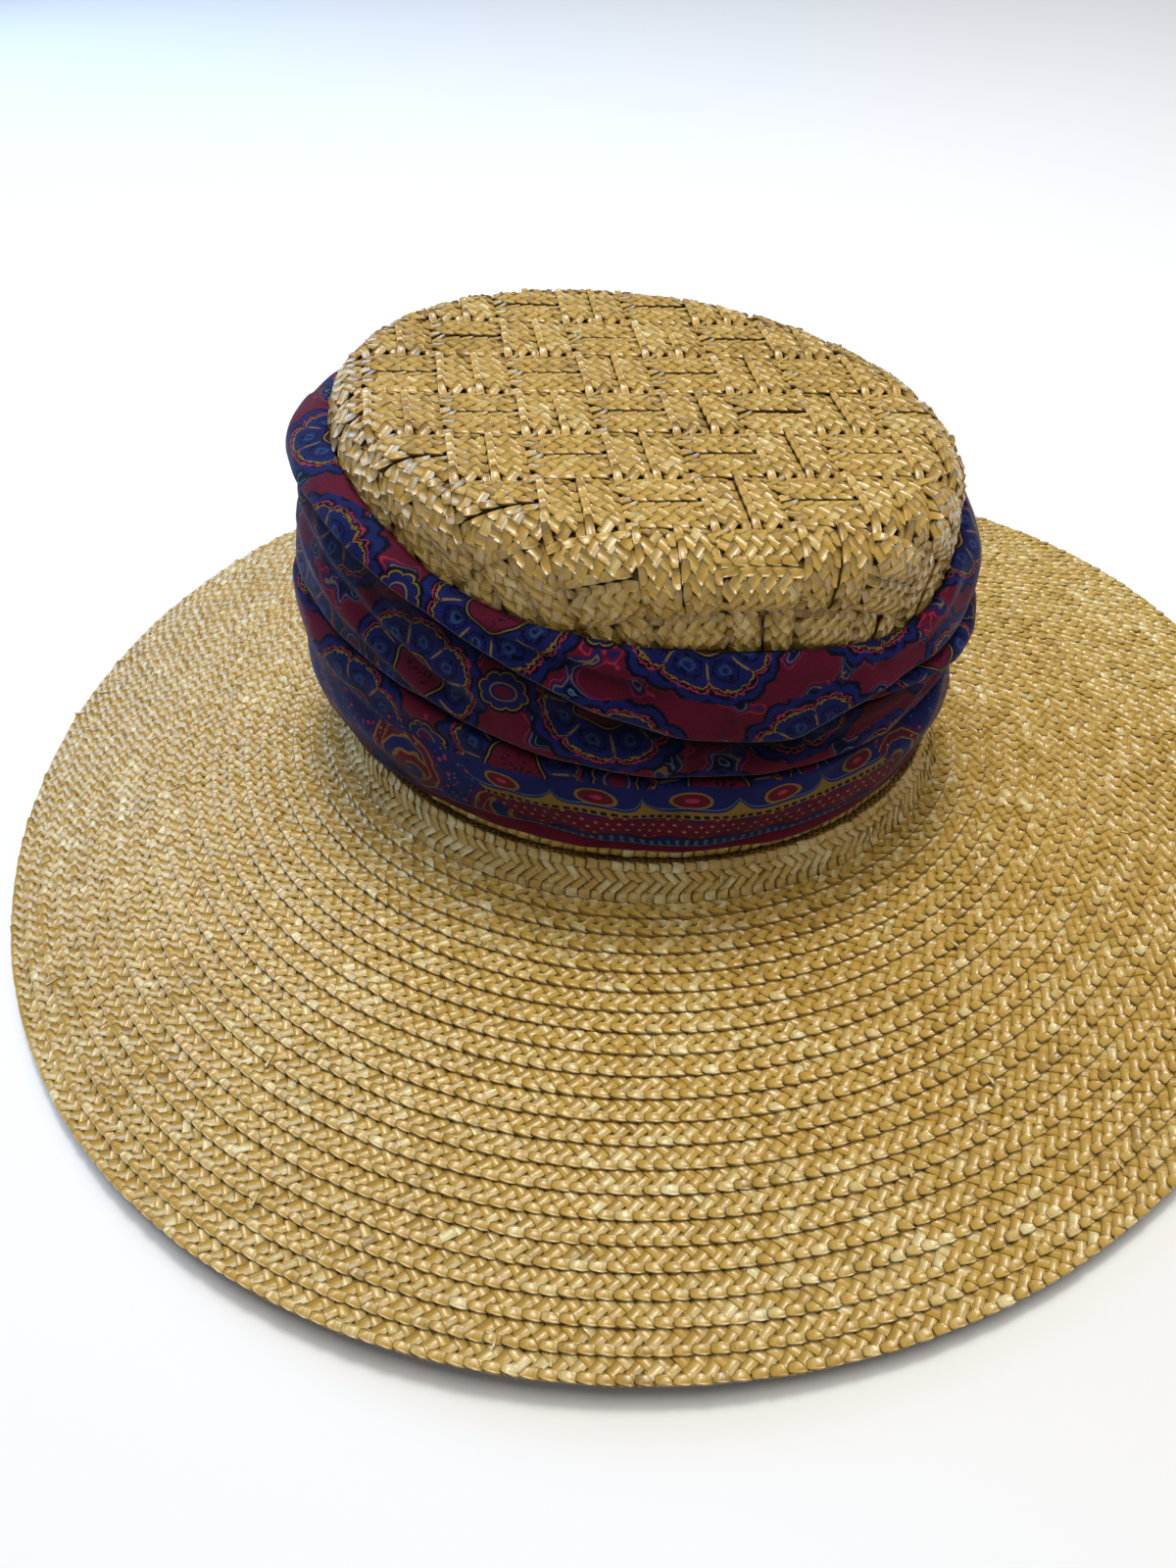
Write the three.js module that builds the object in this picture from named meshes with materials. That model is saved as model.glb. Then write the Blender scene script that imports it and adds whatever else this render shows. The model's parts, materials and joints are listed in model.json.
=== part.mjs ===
// Wide-brimmed straw hat with a flat-topped oval crown, a sewn-plait brim that droops and waves,
// a plait collar round the foot of the crown and a pleated scarf band tucked at one end.
// Millimetres and degrees. +Z is up, and azimuth runs from +X towards +Y, so -90 is the front.
import * as THREE from "three";

// Clearance between neighbouring pieces, and steps round every ring
const GAP = 0.45;
const AROUND = 60;

// Plan ovals of the crown's foot and shoulder and of the rim, with the turn of their long axis
const FOOT = { halfLong: 100.5, halfWide: 83.5, shift: 2.5, turn: -2 };
const SHOULDER = { halfLong: 92.5, halfWide: 79, shift: 0.5, turn: -11 };
const RIM = { halfLong: 234, halfWide: 219.5, shift: 0, turn: -2 };

// Crown: height over its foot, straw wall, rounding of the top edge, slope of the flat top
const CROWN_HEIGHT = 120;
const CROWN_WALL = 2.6;
const CROWN_EDGE = 11;
const CROWN_EDGE_STEPS = 4;
const CROWN_SLOPE = { x: -0.075, y: 0.014 };
const SHOULDER_HEIGHT = CROWN_HEIGHT - CROWN_EDGE;
const TOP_DISC = 0.55;

// Brim: rows of sewn plait, each edge lying on the next row out
const BRIM_ROWS = 21;
const BRIM_WALL = 1.1;
const PLAIT_STEP = 0.9;
const BRIM_DROOP = 27.6;
const DROOP_POWER = 1.44;
const BRIM_WAVES = [
  { lobes: 2, height: 3.2, crest: -16 },
  { lobes: 3, height: 4.2, crest: 15 },
];

// The crown leans over the level rim: how far, and towards which azimuth
const LEAN = { angle: 4.4, azimuth: 19 };

// Collar plait, leaning from the brim against the foot of the crown
const COLLAR = { reach: 8, height: 13, wall: 1.8 };

// Scarf: thickness of the doubled cloth, depth of a pleat, and height of a folded edge
const CLOTH = 1.6;
const PLEAT = 3.2;
const FOLD = 0.6;

// Heights of the scarf's lines over the crown's foot, one row per azimuth, bottom to top.
// gap opens the upper pleat for the tucked roll, and puff is how far the cloth stands off.
const SCARF_STATIONS = [
  { azimuth: -168, edge: 14.5, hem: 20, lowPleat: 69, highPleat: 102, top: 110, gap: 1, puff: 11 },
  { azimuth: -153, edge: 15, hem: 20, lowPleat: 64, highPleat: 101, top: 109, gap: 1, puff: 8 },
  { azimuth: -140, edge: 16, hem: 21, lowPleat: 63, highPleat: 99, top: 106, gap: 1, puff: 5 },
  { azimuth: -124, edge: 17.5, hem: 25.5, lowPleat: 61, highPleat: 92.5, top: 99, gap: 1, puff: 2.5 },
  { azimuth: -108, edge: 18, hem: 26, lowPleat: 57, highPleat: 86, top: 96.5, gap: 1, puff: 1 },
  { azimuth: -92, edge: 18, hem: 23.5, lowPleat: 54.5, highPleat: 78, top: 96, gap: 1, puff: 0.5 },
  { azimuth: -74, edge: 18, hem: 22.5, lowPleat: 53, highPleat: 70, top: 95.5, gap: 1, puff: 0.5 },
  { azimuth: -58, edge: 17, hem: 24, lowPleat: 53, highPleat: 67, top: 95, gap: 1.5, puff: 0.5 },
  { azimuth: -47, edge: 18.5, hem: 26, lowPleat: 53, highPleat: 74.5, top: 92, gap: 5, puff: 0.5 },
  { azimuth: -33, edge: 20, hem: 27, lowPleat: 53, highPleat: 79.5, top: 88, gap: 12, puff: 0.5 },
  { azimuth: -18, edge: 20, hem: 27, lowPleat: 53, highPleat: 77.5, top: 92, gap: 13.5, puff: 0.5 },
  { azimuth: 0, edge: 20, hem: 27, lowPleat: 55, highPleat: 81, top: 102, gap: 13, puff: 0.5 },
  { azimuth: 18, edge: 19, hem: 26, lowPleat: 58, highPleat: 85, top: 107, gap: 4, puff: 0.5 },
  { azimuth: 90, edge: 18, hem: 25, lowPleat: 60, highPleat: 88, top: 105, gap: 1, puff: 1 },
  { azimuth: 150, edge: 16, hem: 22, lowPleat: 64, highPleat: 96, top: 107, gap: 1, puff: 6 },
];

// Outer face of the scarf from its edge up. Each row lies at a share of the way between two
// lines, raised a little, and stands off by shares of a pleat and of the puff.
const SCARF_FACE = [
  { from: "edge", to: "hem", share: 0, rise: 0, pleats: 0, puffs: 0 },
  { from: "edge", to: "hem", share: 1, rise: -FOLD, pleats: 0.1, puffs: 0.3 },
  { from: "hem", to: "lowPleat", share: 0, rise: 0, pleats: 0.5, puffs: 0.4 },
  { from: "hem", to: "lowPleat", share: 0.35, rise: 0, pleats: 1, puffs: 1 },
  { from: "hem", to: "lowPleat", share: 0.75, rise: 0, pleats: 0.8, puffs: 1 },
  { from: "hem", to: "lowPleat", share: 1, rise: -2 * FOLD, pleats: 0.4, puffs: 0.7 },
  { from: "lowPleat", to: "opening", share: 0, rise: 0, pleats: 1.3, puffs: 0.8 },
  { from: "lowPleat", to: "opening", share: 0.4, rise: 0, pleats: 1.5, puffs: 0.8 },
  { from: "lowPleat", to: "opening", share: 1, rise: 0, pleats: 0.3, puffs: 0.5 },
  { from: "highPleat", to: "top", share: 0, rise: 0, pleats: 0.3, puffs: 0.4 },
  { from: "highPleat", to: "top", share: 0, rise: FOLD, pleats: 1.2, puffs: 0.5 },
  { from: "highPleat", to: "top", share: 0.6, rise: 0, pleats: 1.3, puffs: 0.4 },
  { from: "highPleat", to: "top", share: 1, rise: -FOLD, pleats: 0.7, puffs: 0.2 },
  { from: "highPleat", to: "top", share: 1, rise: 0, pleats: 0.2, puffs: 0 },
];

// Tucked roll of scarf, lying in the opened pleat on the right
const ROLL = { from: -47, to: 14, radius: 4.4, endShare: 0.35, sides: 10, steps: 14 };

const radians = (degrees) => degrees * Math.PI / 180;
const mix = (from, to, share) => from + (to - from) * share;
const mixNamed = (from, to, share) => Object.fromEntries(
  Object.keys(from).map((name) => [name, mix(from[name], to[name], share)]));

// Point on an oval at an angle, pushed outwards along the oval's own normal
function ovalPoint(oval, angle, offset) {
  const normal = new THREE.Vector2(Math.cos(angle) / oval.halfLong, Math.sin(angle) / oval.halfWide);
  normal.normalize();
  const x = oval.halfLong * Math.cos(angle) + offset * normal.x + oval.shift;
  const y = oval.halfWide * Math.sin(angle) + offset * normal.y;
  return new THREE.Vector2(x, y).rotateAround(new THREE.Vector2(), radians(oval.turn));
}

// Oval section of the crown's straight wall at a height over its foot
function wallSection(height) {
  return mixNamed(FOOT, SHOULDER, height / SHOULDER_HEIGHT);
}

// Point off the crown's wall. Heights stretch with the slope of the top, so the top stays flat.
function wallPoint(angle, height, offset) {
  const plan = ovalPoint(wallSection(Math.min(height, SHOULDER_HEIGHT)), angle, offset);
  return slopedPoint(plan, height);
}

function slopedPoint(plan, height) {
  const slope = CROWN_SLOPE.x * plan.x + CROWN_SLOPE.y * plan.y;
  return [plan.x, plan.y, height + slope * Math.max(height, 0) / CROWN_HEIGHT];
}

const ANGLES = Array.from({ length: AROUND }, (_, step) => 2 * Math.PI * step / AROUND);
const ring = (pointAt) => ANGLES.map(pointAt);

// Azimuth, in degrees, of the wall at an oval angle
function wallAzimuth(angle) {
  const plan = ovalPoint(FOOT, angle, 0);
  return THREE.MathUtils.radToDeg(Math.atan2(plan.y, plan.x));
}

// One closed body from rings of equal count. Without poles the last ring joins the first.
function bodyFromRings(rings, poles) {
  const count = rings[0].length;
  const positions = rings.flat(2);
  const faces = [];
  const bands = poles ? rings.length - 1 : rings.length;
  for (let band = 0; band < bands; band += 1) {
    const here = band * count;
    const next = ((band + 1) % rings.length) * count;
    for (let step = 0; step < count; step += 1) {
      const after = (step + 1) % count;
      faces.push(here + step, here + after, next + after);
      faces.push(here + step, next + after, next + step);
    }
  }
  if (poles) {
    const first = positions.length / 3;
    positions.push(...poles[0], ...poles[1]);
    const last = (rings.length - 1) * count;
    for (let step = 0; step < count; step += 1) {
      const after = (step + 1) % count;
      faces.push(first, after, step);
      faces.push(first + 1, last + step, last + after);
    }
  }
  return outwardGeometry(positions, faces);
}

// Geometry whose faces point out, whichever way the rings were listed
function outwardGeometry(positions, faces) {
  const corner = (index) => new THREE.Vector3().fromArray(positions, 3 * index);
  let volume = 0;
  for (let face = 0; face < faces.length; face += 3) {
    const [a, b, c] = faces.slice(face, face + 3).map(corner);
    volume += a.dot(b.cross(c));
  }
  const turned = volume < 0 ? faces.toReversed() : faces;
  const geometry = new THREE.BufferGeometry();
  geometry.setAttribute("position", new THREE.Float32BufferAttribute(positions, 3));
  geometry.setIndex(turned);
  geometry.computeVertexNormals();
  return geometry;
}

// Crown: open below, from the middle of its inner face down, round the foot and up to the top
function crownGeometry() {
  const shell = (inset) => {
    const radius = CROWN_EDGE - inset;
    const rings = [-BRIM_WALL, 0, SHOULDER_HEIGHT / 2, SHOULDER_HEIGHT].map((height) =>
      ring((angle) => wallPoint(angle, height, -inset)));
    for (let step = 1; step <= CROWN_EDGE_STEPS; step += 1) {
      const turn = Math.PI / 2 * step / CROWN_EDGE_STEPS;
      const rise = SHOULDER_HEIGHT + radius * Math.sin(turn);
      const inward = inset + radius * (1 - Math.cos(turn));
      rings.push(ring((angle) => slopedPoint(ovalPoint(SHOULDER, angle, -inward), rise)));
    }
    const disc = {
      ...SHOULDER,
      halfLong: TOP_DISC * SHOULDER.halfLong,
      halfWide: TOP_DISC * SHOULDER.halfWide,
    };
    rings.push(ring((angle) => slopedPoint(ovalPoint(disc, angle, 0), CROWN_HEIGHT - inset)));
    return rings;
  };
  const middle = new THREE.Vector2(0, 0);
  const innerPole = slopedPoint(middle, CROWN_HEIGHT - CROWN_WALL);
  const outerPole = slopedPoint(middle, CROWN_HEIGHT);
  return bodyFromRings([...shell(CROWN_WALL).reverse(), ...shell(0)], [innerPole, outerPole]);
}

// Fall of the rim below the crown's foot, with its lean and waves, at a point in plan
function rimFall(plan) {
  const azimuth = Math.atan2(plan.y, plan.x);
  const lean = plan.length() * Math.tan(radians(LEAN.angle)) * Math.cos(azimuth - radians(LEAN.azimuth));
  const lift = BRIM_WAVES.reduce((sum, wave) =>
    sum + wave.height * Math.cos(wave.lobes * (azimuth - radians(wave.crest))), lean);
  return lift - BRIM_DROOP;
}

// Point on the brim: share 0 lies at the collar's edge and 1 at the rim
function brimPoint(angle, share, lift) {
  const rim = ovalPoint(RIM, angle, 0);
  const plan = ovalPoint(FOOT, angle, COLLAR.reach).lerp(rim, share);
  const fall = rimFall(rim) * share ** DROOP_POWER;
  return [plan.x, plan.y, fall + lift];
}

// Brim: plait rows step down outwards on top, and the underside is smooth
function brimGeometry() {
  const seat = (lift) => ring((angle) => [...ovalPoint(FOOT, angle, GAP), lift]);
  const rings = [seat(0)];
  for (let row = 0; row < BRIM_ROWS; row += 1) {
    rings.push(ring((angle) => brimPoint(angle, row / BRIM_ROWS, 0)));
    rings.push(ring((angle) => brimPoint(angle, (row + 1) / BRIM_ROWS, PLAIT_STEP)));
  }
  for (const share of [1, 0.75, 0.5, 0.25, 0]) {
    rings.push(ring((angle) => brimPoint(angle, share, -BRIM_WALL)));
  }
  rings.push(seat(-BRIM_WALL));
  return bodyFromRings(rings);
}

// Collar: a leaning wall with a slightly crowned face
function collarGeometry() {
  const top = GAP + COLLAR.wall;
  const section = [
    { height: COLLAR.height - FOLD, offset: GAP },
    { height: COLLAR.height, offset: top },
    { height: COLLAR.height / 2, offset: mix(COLLAR.reach, top, 0.5) + GAP },
    { height: 2 * GAP, offset: COLLAR.reach },
    { height: GAP, offset: COLLAR.reach - COLLAR.wall },
  ];
  return bodyFromRings(section.map((corner) =>
    ring((angle) => wallPoint(angle, corner.height, corner.offset))));
}

// Scarf lines at an azimuth, eased between the two stations beside it
function scarfLines(azimuth) {
  const turn = azimuth < SCARF_STATIONS[0].azimuth ? azimuth + 360 : azimuth;
  const after = SCARF_STATIONS.findIndex((station) => station.azimuth > turn);
  const next = after < 0 ? 0 : after;
  const before = SCARF_STATIONS.at(next - 1);
  const span = (SCARF_STATIONS[next].azimuth - before.azimuth + 360) % 360;
  return mixNamed(before, SCARF_STATIONS[next], (turn - before.azimuth) / span);
}

// Scarf's section at an azimuth, up its outer face and down its inner face
function scarfSection(azimuth) {
  const lines = scarfLines(azimuth);
  lines.opening = lines.highPleat - lines.gap;
  const outer = SCARF_FACE.map((row) => ({
    height: mix(lines[row.from], lines[row.to], row.share) + row.rise,
    offset: GAP + CLOTH + row.pleats * PLEAT + row.puffs * lines.puff,
  }));
  const innerHeights = [lines.top - FOLD, SHOULDER_HEIGHT / 2, lines.edge];
  return [...outer, ...innerHeights.map((height) => ({ height, offset: GAP }))];
}

function scarfGeometry() {
  const sections = ANGLES.map((angle) => scarfSection(wallAzimuth(angle)).map((corner) =>
    wallPoint(angle, corner.height, corner.offset)));
  const rings = sections[0].map((_, line) => sections.map((section) => section[line]));
  return bodyFromRings(rings);
}

// Roll: a soft cord of cloth along the opened pleat, thinner at both ends
function rollGeometry() {
  const rings = [];
  for (let step = 0; step <= ROLL.steps; step += 1) {
    const share = step / ROLL.steps;
    const angle = radians(mix(ROLL.from, ROLL.to, share));
    const { highPleat, gap, puff } = scarfLines(wallAzimuth(angle));
    const radius = ROLL.radius * mix(ROLL.endShare, 1, Math.sin(Math.PI * share));
    const floor = GAP + CLOTH + 0.3 * PLEAT + 0.5 * puff;
    const height = highPleat - gap / 2;
    rings.push(Array.from({ length: ROLL.sides }, (_, side) => {
      const turn = 2 * Math.PI * side / ROLL.sides;
      const offset = floor + GAP + radius * (1 + Math.cos(turn));
      return wallPoint(angle, height + radius * Math.sin(turn), offset);
    }));
  }
  const middleOf = (points) => {
    const sum = points.reduce((total, point) => total.add(new THREE.Vector3(...point)),
      new THREE.Vector3());
    return sum.divideScalar(points.length).toArray();
  };
  return bodyFromRings(rings, [middleOf(rings[0]), middleOf(rings.at(-1))]);
}

const straw = { color: 0xc9a35a, roughness: 0.5, metalness: 0 };
const brimStraw = { color: 0xc4a05c, roughness: 0.55, metalness: 0 };
const collarStraw = { color: 0xb9924c, roughness: 0.55, metalness: 0 };
const cloth = { color: 0x5c1a3c, roughness: 0.75, metalness: 0 };

const PIECES = [
  { name: "crown", geometry: crownGeometry(), finish: straw },
  { name: "brim", geometry: brimGeometry(), finish: brimStraw },
  { name: "collar_braid", geometry: collarGeometry(), finish: collarStraw },
  { name: "scarf_band", geometry: scarfGeometry(), finish: cloth },
  { name: "scarf_tuck", geometry: rollGeometry(), finish: cloth },
];

const hat = new THREE.Group();
for (const piece of PIECES) {
  const mesh = new THREE.Mesh(piece.geometry, new THREE.MeshStandardMaterial(piece.finish));
  mesh.name = piece.name;
  hat.add(mesh);
}

// The hat rests on its rim, with the middle of the rim over the origin
const acrossLean = radians(LEAN.azimuth + 90);
const leanAxis = new THREE.Vector3(Math.cos(acrossLean), Math.sin(acrossLean), 0);
hat.quaternion.setFromAxisAngle(leanAxis, radians(LEAN.angle));
const box = new THREE.Box3().setFromObject(hat, true);
hat.position.set(-(box.min.x + box.max.x) / 2, -(box.min.y + box.max.y) / 2, -box.min.z);

export default hat;
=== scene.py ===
import json
import math

import bpy
import numpy as np
from mathutils import Matrix, Vector

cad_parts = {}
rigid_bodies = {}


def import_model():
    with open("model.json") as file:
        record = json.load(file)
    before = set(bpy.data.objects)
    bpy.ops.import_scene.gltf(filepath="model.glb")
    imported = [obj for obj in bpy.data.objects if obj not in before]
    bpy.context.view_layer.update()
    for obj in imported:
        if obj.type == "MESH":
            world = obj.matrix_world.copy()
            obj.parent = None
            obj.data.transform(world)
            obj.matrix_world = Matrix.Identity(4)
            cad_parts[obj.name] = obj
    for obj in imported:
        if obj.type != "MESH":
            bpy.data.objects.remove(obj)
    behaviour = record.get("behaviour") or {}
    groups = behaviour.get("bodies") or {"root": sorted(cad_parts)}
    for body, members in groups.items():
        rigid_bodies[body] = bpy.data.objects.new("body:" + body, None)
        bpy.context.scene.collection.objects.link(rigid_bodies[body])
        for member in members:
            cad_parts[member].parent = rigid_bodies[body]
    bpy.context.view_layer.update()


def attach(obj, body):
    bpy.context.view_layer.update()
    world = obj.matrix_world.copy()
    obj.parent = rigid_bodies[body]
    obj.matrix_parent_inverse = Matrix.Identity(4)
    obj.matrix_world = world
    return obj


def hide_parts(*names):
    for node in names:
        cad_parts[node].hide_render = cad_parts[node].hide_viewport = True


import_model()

# Wide-brimmed straw hat: a crown woven from plait strips, a brim sewn from one narrow plait,
# a flat plait collar and a folded printed scarf. Work values are millimetres, scene units metres.
bl_info = {
    "name": "Straw hat with a scarf band",
    "version": (1, 0, 0),
    "blender": (4, 5, 0),
    "location": "3D Viewport > Sidebar > Straw Hat",
    "description": "Builds the plaits, the woven crown and the printed scarf of a straw hat",
    "category": "Add Mesh",
}

MM = 0.001
BODY = "root"

# Plan ovals of the crown's foot and shoulder and of the rim, as in the solids
FOOT = {"long": 100.5, "wide": 83.5, "shift": 2.5, "turn": -2.0}
SHOULDER = {"long": 92.5, "wide": 79.0, "shift": 0.5, "turn": -11.0}
RIM = {"long": 234.0, "wide": 219.5, "shift": 0.0, "turn": -2.0}

CROWN_HEIGHT = 120.0
CROWN_EDGE = 11.0
CROWN_SLOPE = (-0.075, 0.014)
SHOULDER_HEIGHT = CROWN_HEIGHT - CROWN_EDGE

BRIM_ROWS = 21
BRIM_WALL = 1.1
PLAIT_STEP = 0.9
BRIM_DROOP = 27.6
DROOP_POWER = 1.44
BRIM_WAVES = ((2, 3.2, -16.0), (3, 4.2, 15.0))
LEAN_ANGLE = 4.4
LEAN_AZIMUTH = 19.0
CAD_AROUND = 60

COLLAR_REACH = 8.0
COLLAR_HEIGHT = 13.0
COLLAR_WALL = 1.8
GAP = 0.45
CLOTH = 1.6
PLEAT = 3.6

# Heights of the scarf's lines over the crown's foot, bottom to top, and how far the cloth puffs out
LINES = ("azimuth", "edge", "hem", "low_pleat", "high_pleat", "top", "gap", "puff")
SCARF_STATIONS = (
    (-168, 14.5, 20, 69, 102, 110, 1, 11),
    (-153, 15, 20, 64, 101, 109, 1, 8),
    (-140, 16, 21, 63, 99, 106, 1, 5),
    (-124, 17.5, 25.5, 61, 92.5, 99, 1, 2.5),
    (-108, 18, 26, 57, 86, 96.5, 1, 1),
    (-92, 18, 23.5, 54.5, 78, 96, 1, 0.5),
    (-74, 18, 22.5, 53, 70, 95.5, 1, 0.5),
    (-58, 17, 24, 53, 67, 95, 1.5, 0.5),
    (-47, 18.5, 26, 53, 74.5, 92, 5, 0.5),
    (-33, 20, 27, 53, 79.5, 88, 12, 0.5),
    (-18, 20, 27, 53, 77.5, 92, 13.5, 0.5),
    (0, 20, 27, 55, 81, 102, 13, 0.5),
    (18, 19, 26, 58, 85, 107, 4, 0.5),
    (90, 18, 25, 60, 88, 105, 1, 1),
    (150, 16, 22, 64, 96, 107, 1, 6),
)

# The cloth's way from the turned-in lower edge to the turned-in top: between which lines each
# point lies and how far along, its rise, and its stand-off in pleats and in puffs
SCARF_FOLDS = (
    ("edge", "edge", 0, 7.0, -0.35, 0.0),
    ("edge", "edge", 0, 1.0, -0.30, 0.0),
    ("edge", "edge", 0, 0.0, -0.08, 0.0),
    ("edge", "edge", 0, 1.0, 0.10, 0.0),
    ("edge", "hem", 0.9, 0.0, 0.10, 0.25),
    ("edge", "hem", 1.0, 2.5, 0.08, 0.3),
    ("hem", "hem", 0, 0.2, 0.36, 0.35),
    ("hem", "hem", 0, 0.8, 0.5, 0.4),
    ("hem", "low_pleat", 0.35, 0.0, 1.05, 0.9),
    ("hem", "low_pleat", 0.75, 0.0, 1.15, 1.0),
    ("hem", "low_pleat", 1.0, -2.6, 0.95, 1.0),
    ("hem", "low_pleat", 1.0, -0.2, 0.1, 0.6),
    ("hem", "low_pleat", 1.0, 6.0, 0.1, 0.5),
    ("low_pleat", "low_pleat", 0, 5.0, 0.5, 0.6),
    ("low_pleat", "low_pleat", 0, 0.3, 0.8, 0.7),
    ("low_pleat", "low_pleat", 0, 1.3, 1.3, 0.8),
    ("low_pleat", "opening", 0.4, 0.0, 1.35, 0.8),
    ("low_pleat", "opening", 0.9, 0.0, 0.45, 0.6),
    ("low_pleat", "opening", 1.0, 0.0, 0.1, 0.5),
    ("high_pleat", "high_pleat", 0, 4.5, 0.0, 0.35),
    ("high_pleat", "high_pleat", 0, 4.0, 0.5, 0.4),
    ("high_pleat", "high_pleat", 0, -0.3, 1.4, 0.45),
    ("high_pleat", "high_pleat", 0, 0.7, 1.85, 0.5),
    ("high_pleat", "top", 0.6, 0.0, 1.55, 0.4),
    ("high_pleat", "top", 1.0, -1.0, 0.7, 0.2),
    ("high_pleat", "top", 1.0, 0.0, 0.25, 0.0),
    ("high_pleat", "top", 1.0, -1.2, -0.2, 0.0),
    ("high_pleat", "top", 1.0, -8.0, -0.3, 0.0),
)
SCARF_EDGE_FOLD = 3
SCARF_AROUND = 380
SCARF_STEP = 1.15
SCARF_ROUND = 610.0
CLOTH_THICK = 0.5
EASE = 15

# The rolled end: from and to angles, radius at its middle, share of it at its ends, turns, steps
ROLL_FROM, ROLL_TO = -47.0, 14.0
ROLL_RADIUS = 4.4
ROLL_END_SHARE = 0.35
ROLL_TURNS = 1.6
ROLL_ALONG, ROLL_AROUND = 45, 64
ROLL_LONG, ROLL_WIDE = 92.0, 32.0
ROLL_PRINT = 60

# Layout of the print over the flat cloth, from the hem up
MEDALLION_WIDE, MEDALLION_TALL = SCARF_ROUND / 11, 43.0
MEDALLION_LIFT = 61.0
DROP_WIDE, DROP_TALL = 38.0, 33.0
BORDER_FROM, BORDER_TO, BORDER_SLANT = 286.0, 410.0, 0.8
PANEL_TALL, PANEL_DIP = 37.0, 17.0

# Camera in the frame, in millimetres, and the photograph's frame in its own pixels
CAMERA_PLACE = (6.0, -291.8, 312.1)
CAMERA_RIGHT = (0.9979, 0.0087, -0.0638)
CAMERA_UP = (0.0368, 0.7358, 0.6762)
# Lights: name, place in metres, size, power and tint
LIGHTS = (
    ("window", (-1.15, 1.0, 0.85), 1.1, 16.5, (0.38, 0.63, 1.0)),
    ("ceiling", (0.05, 0.2, 1.9), 1.2, 22.0, (1.0, 0.96, 0.9)),
    ("skylight", (0.1, 0.3, 1.5), 0.22, 7.0, (1.0, 0.98, 0.94)),
    ("lamp", (0.95, -0.1, 1.2), 0.35, 1.5, (1.0, 0.95, 0.86)),
)
PHOTO_TALL = 1600
PHOTO_FOCAL = 1100
SENSOR_MM = 36.0


def mix(start, end, share):
    return start + (end - start) * share


def oval_point(oval, angle, offset):
    """Plan point of an oval at an angle, pushed out along the oval's own normal."""
    normal = np.stack([np.cos(angle) / oval["long"], np.sin(angle) / oval["wide"]], axis=-1)
    normal /= np.linalg.norm(normal, axis=-1, keepdims=True)
    x = oval["long"] * np.cos(angle) + offset * normal[..., 0] + oval["shift"]
    y = oval["wide"] * np.sin(angle) + offset * normal[..., 1]
    turn = np.radians(oval["turn"])
    return np.stack([np.cos(turn) * x - np.sin(turn) * y, np.sin(turn) * x + np.cos(turn) * y], axis=-1)


def sloped_point(plan, height):
    """Point over the plan. Heights stretch with the slope of the top, so the top stays flat."""
    slope = CROWN_SLOPE[0] * plan[..., 0] + CROWN_SLOPE[1] * plan[..., 1]
    tall = height + slope * np.maximum(height, 0) / CROWN_HEIGHT
    return np.concatenate([plan, tall[..., None]], axis=-1)


def wall_point(angle, height, offset):
    """Point off the crown's straight wall."""
    share = np.minimum(height, SHOULDER_HEIGHT) / SHOULDER_HEIGHT
    section = {name: mix(FOOT[name], SHOULDER[name], share) for name in FOOT}
    return sloped_point(oval_point(section, angle, offset), height)


def wall_azimuth(angle):
    plan = oval_point(FOOT, angle, 0.0)
    return np.degrees(np.arctan2(plan[..., 1], plan[..., 0]))


def brim_point(angle, share, lift):
    """Point on the brim: share 0 lies at the collar's edge and 1 at the rim."""
    rim = oval_point(RIM, angle, 0.0)
    share = np.broadcast_to(share, rim.shape[:-1])
    plan = mix(oval_point(FOOT, angle, COLLAR_REACH), rim, share[..., None])
    azimuth = np.arctan2(rim[..., 1], rim[..., 0])
    reach = np.linalg.norm(rim, axis=-1)
    fall = reach * math.tan(math.radians(LEAN_ANGLE)) * np.cos(azimuth - math.radians(LEAN_AZIMUTH))
    for lobes, height, crest in BRIM_WAVES:
        fall = fall + height * np.cos(lobes * (azimuth - math.radians(crest)))
    fall = (fall - BRIM_DROOP) * np.maximum(share, 0) ** DROOP_POWER
    return np.concatenate([plan, (fall + lift)[..., None]], axis=-1)


def resting_place():
    """Turn and shift that lay the rim level on the floor, over the origin."""
    across = math.radians(LEAN_AZIMUTH + 90)
    turn = Matrix.Rotation(math.radians(LEAN_ANGLE), 3, Vector((math.cos(across), math.sin(across), 0)))
    turn = np.array(turn)
    angle = np.linspace(0, 2 * np.pi, CAD_AROUND, endpoint=False)
    rim = np.concatenate([brim_point(angle, 1.0, lift) for lift in (-BRIM_WALL, PLAIT_STEP)]) @ turn.T
    middle = (rim.min(axis=0) + rim.max(axis=0)) / 2
    return turn, -np.array([middle[0], middle[1], rim[:, 2].min()])


TURN, SHIFT = resting_place()


def world(points):
    """Millimetres in the crown's own frame to metres in the part's frame."""
    return (points @ TURN.T + SHIFT) * MM


def unit(vectors):
    return vectors / np.maximum(np.linalg.norm(vectors, axis=-1, keepdims=True), 1e-9)


def ride(piece):
    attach(piece, BODY)


def feed(tree, socket, value):
    """Set an input, or link it when the value is an output or a field."""
    if isinstance(value, Field):
        value = value.socket
    if isinstance(value, bpy.types.NodeSocket):
        tree.links.new(value, socket)
    else:
        socket.default_value = value


def give(tree, node, values):
    """Set or link a node's inputs, by name or number."""
    for key, value in values.items():
        feed(tree, node.inputs[key], value)


def new_node(tree, kind, values=None, **settings):
    node = tree.nodes.new(kind)
    for name, value in settings.items():
        setattr(node, name, value)
    give(tree, node, values or {})
    return node


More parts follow.
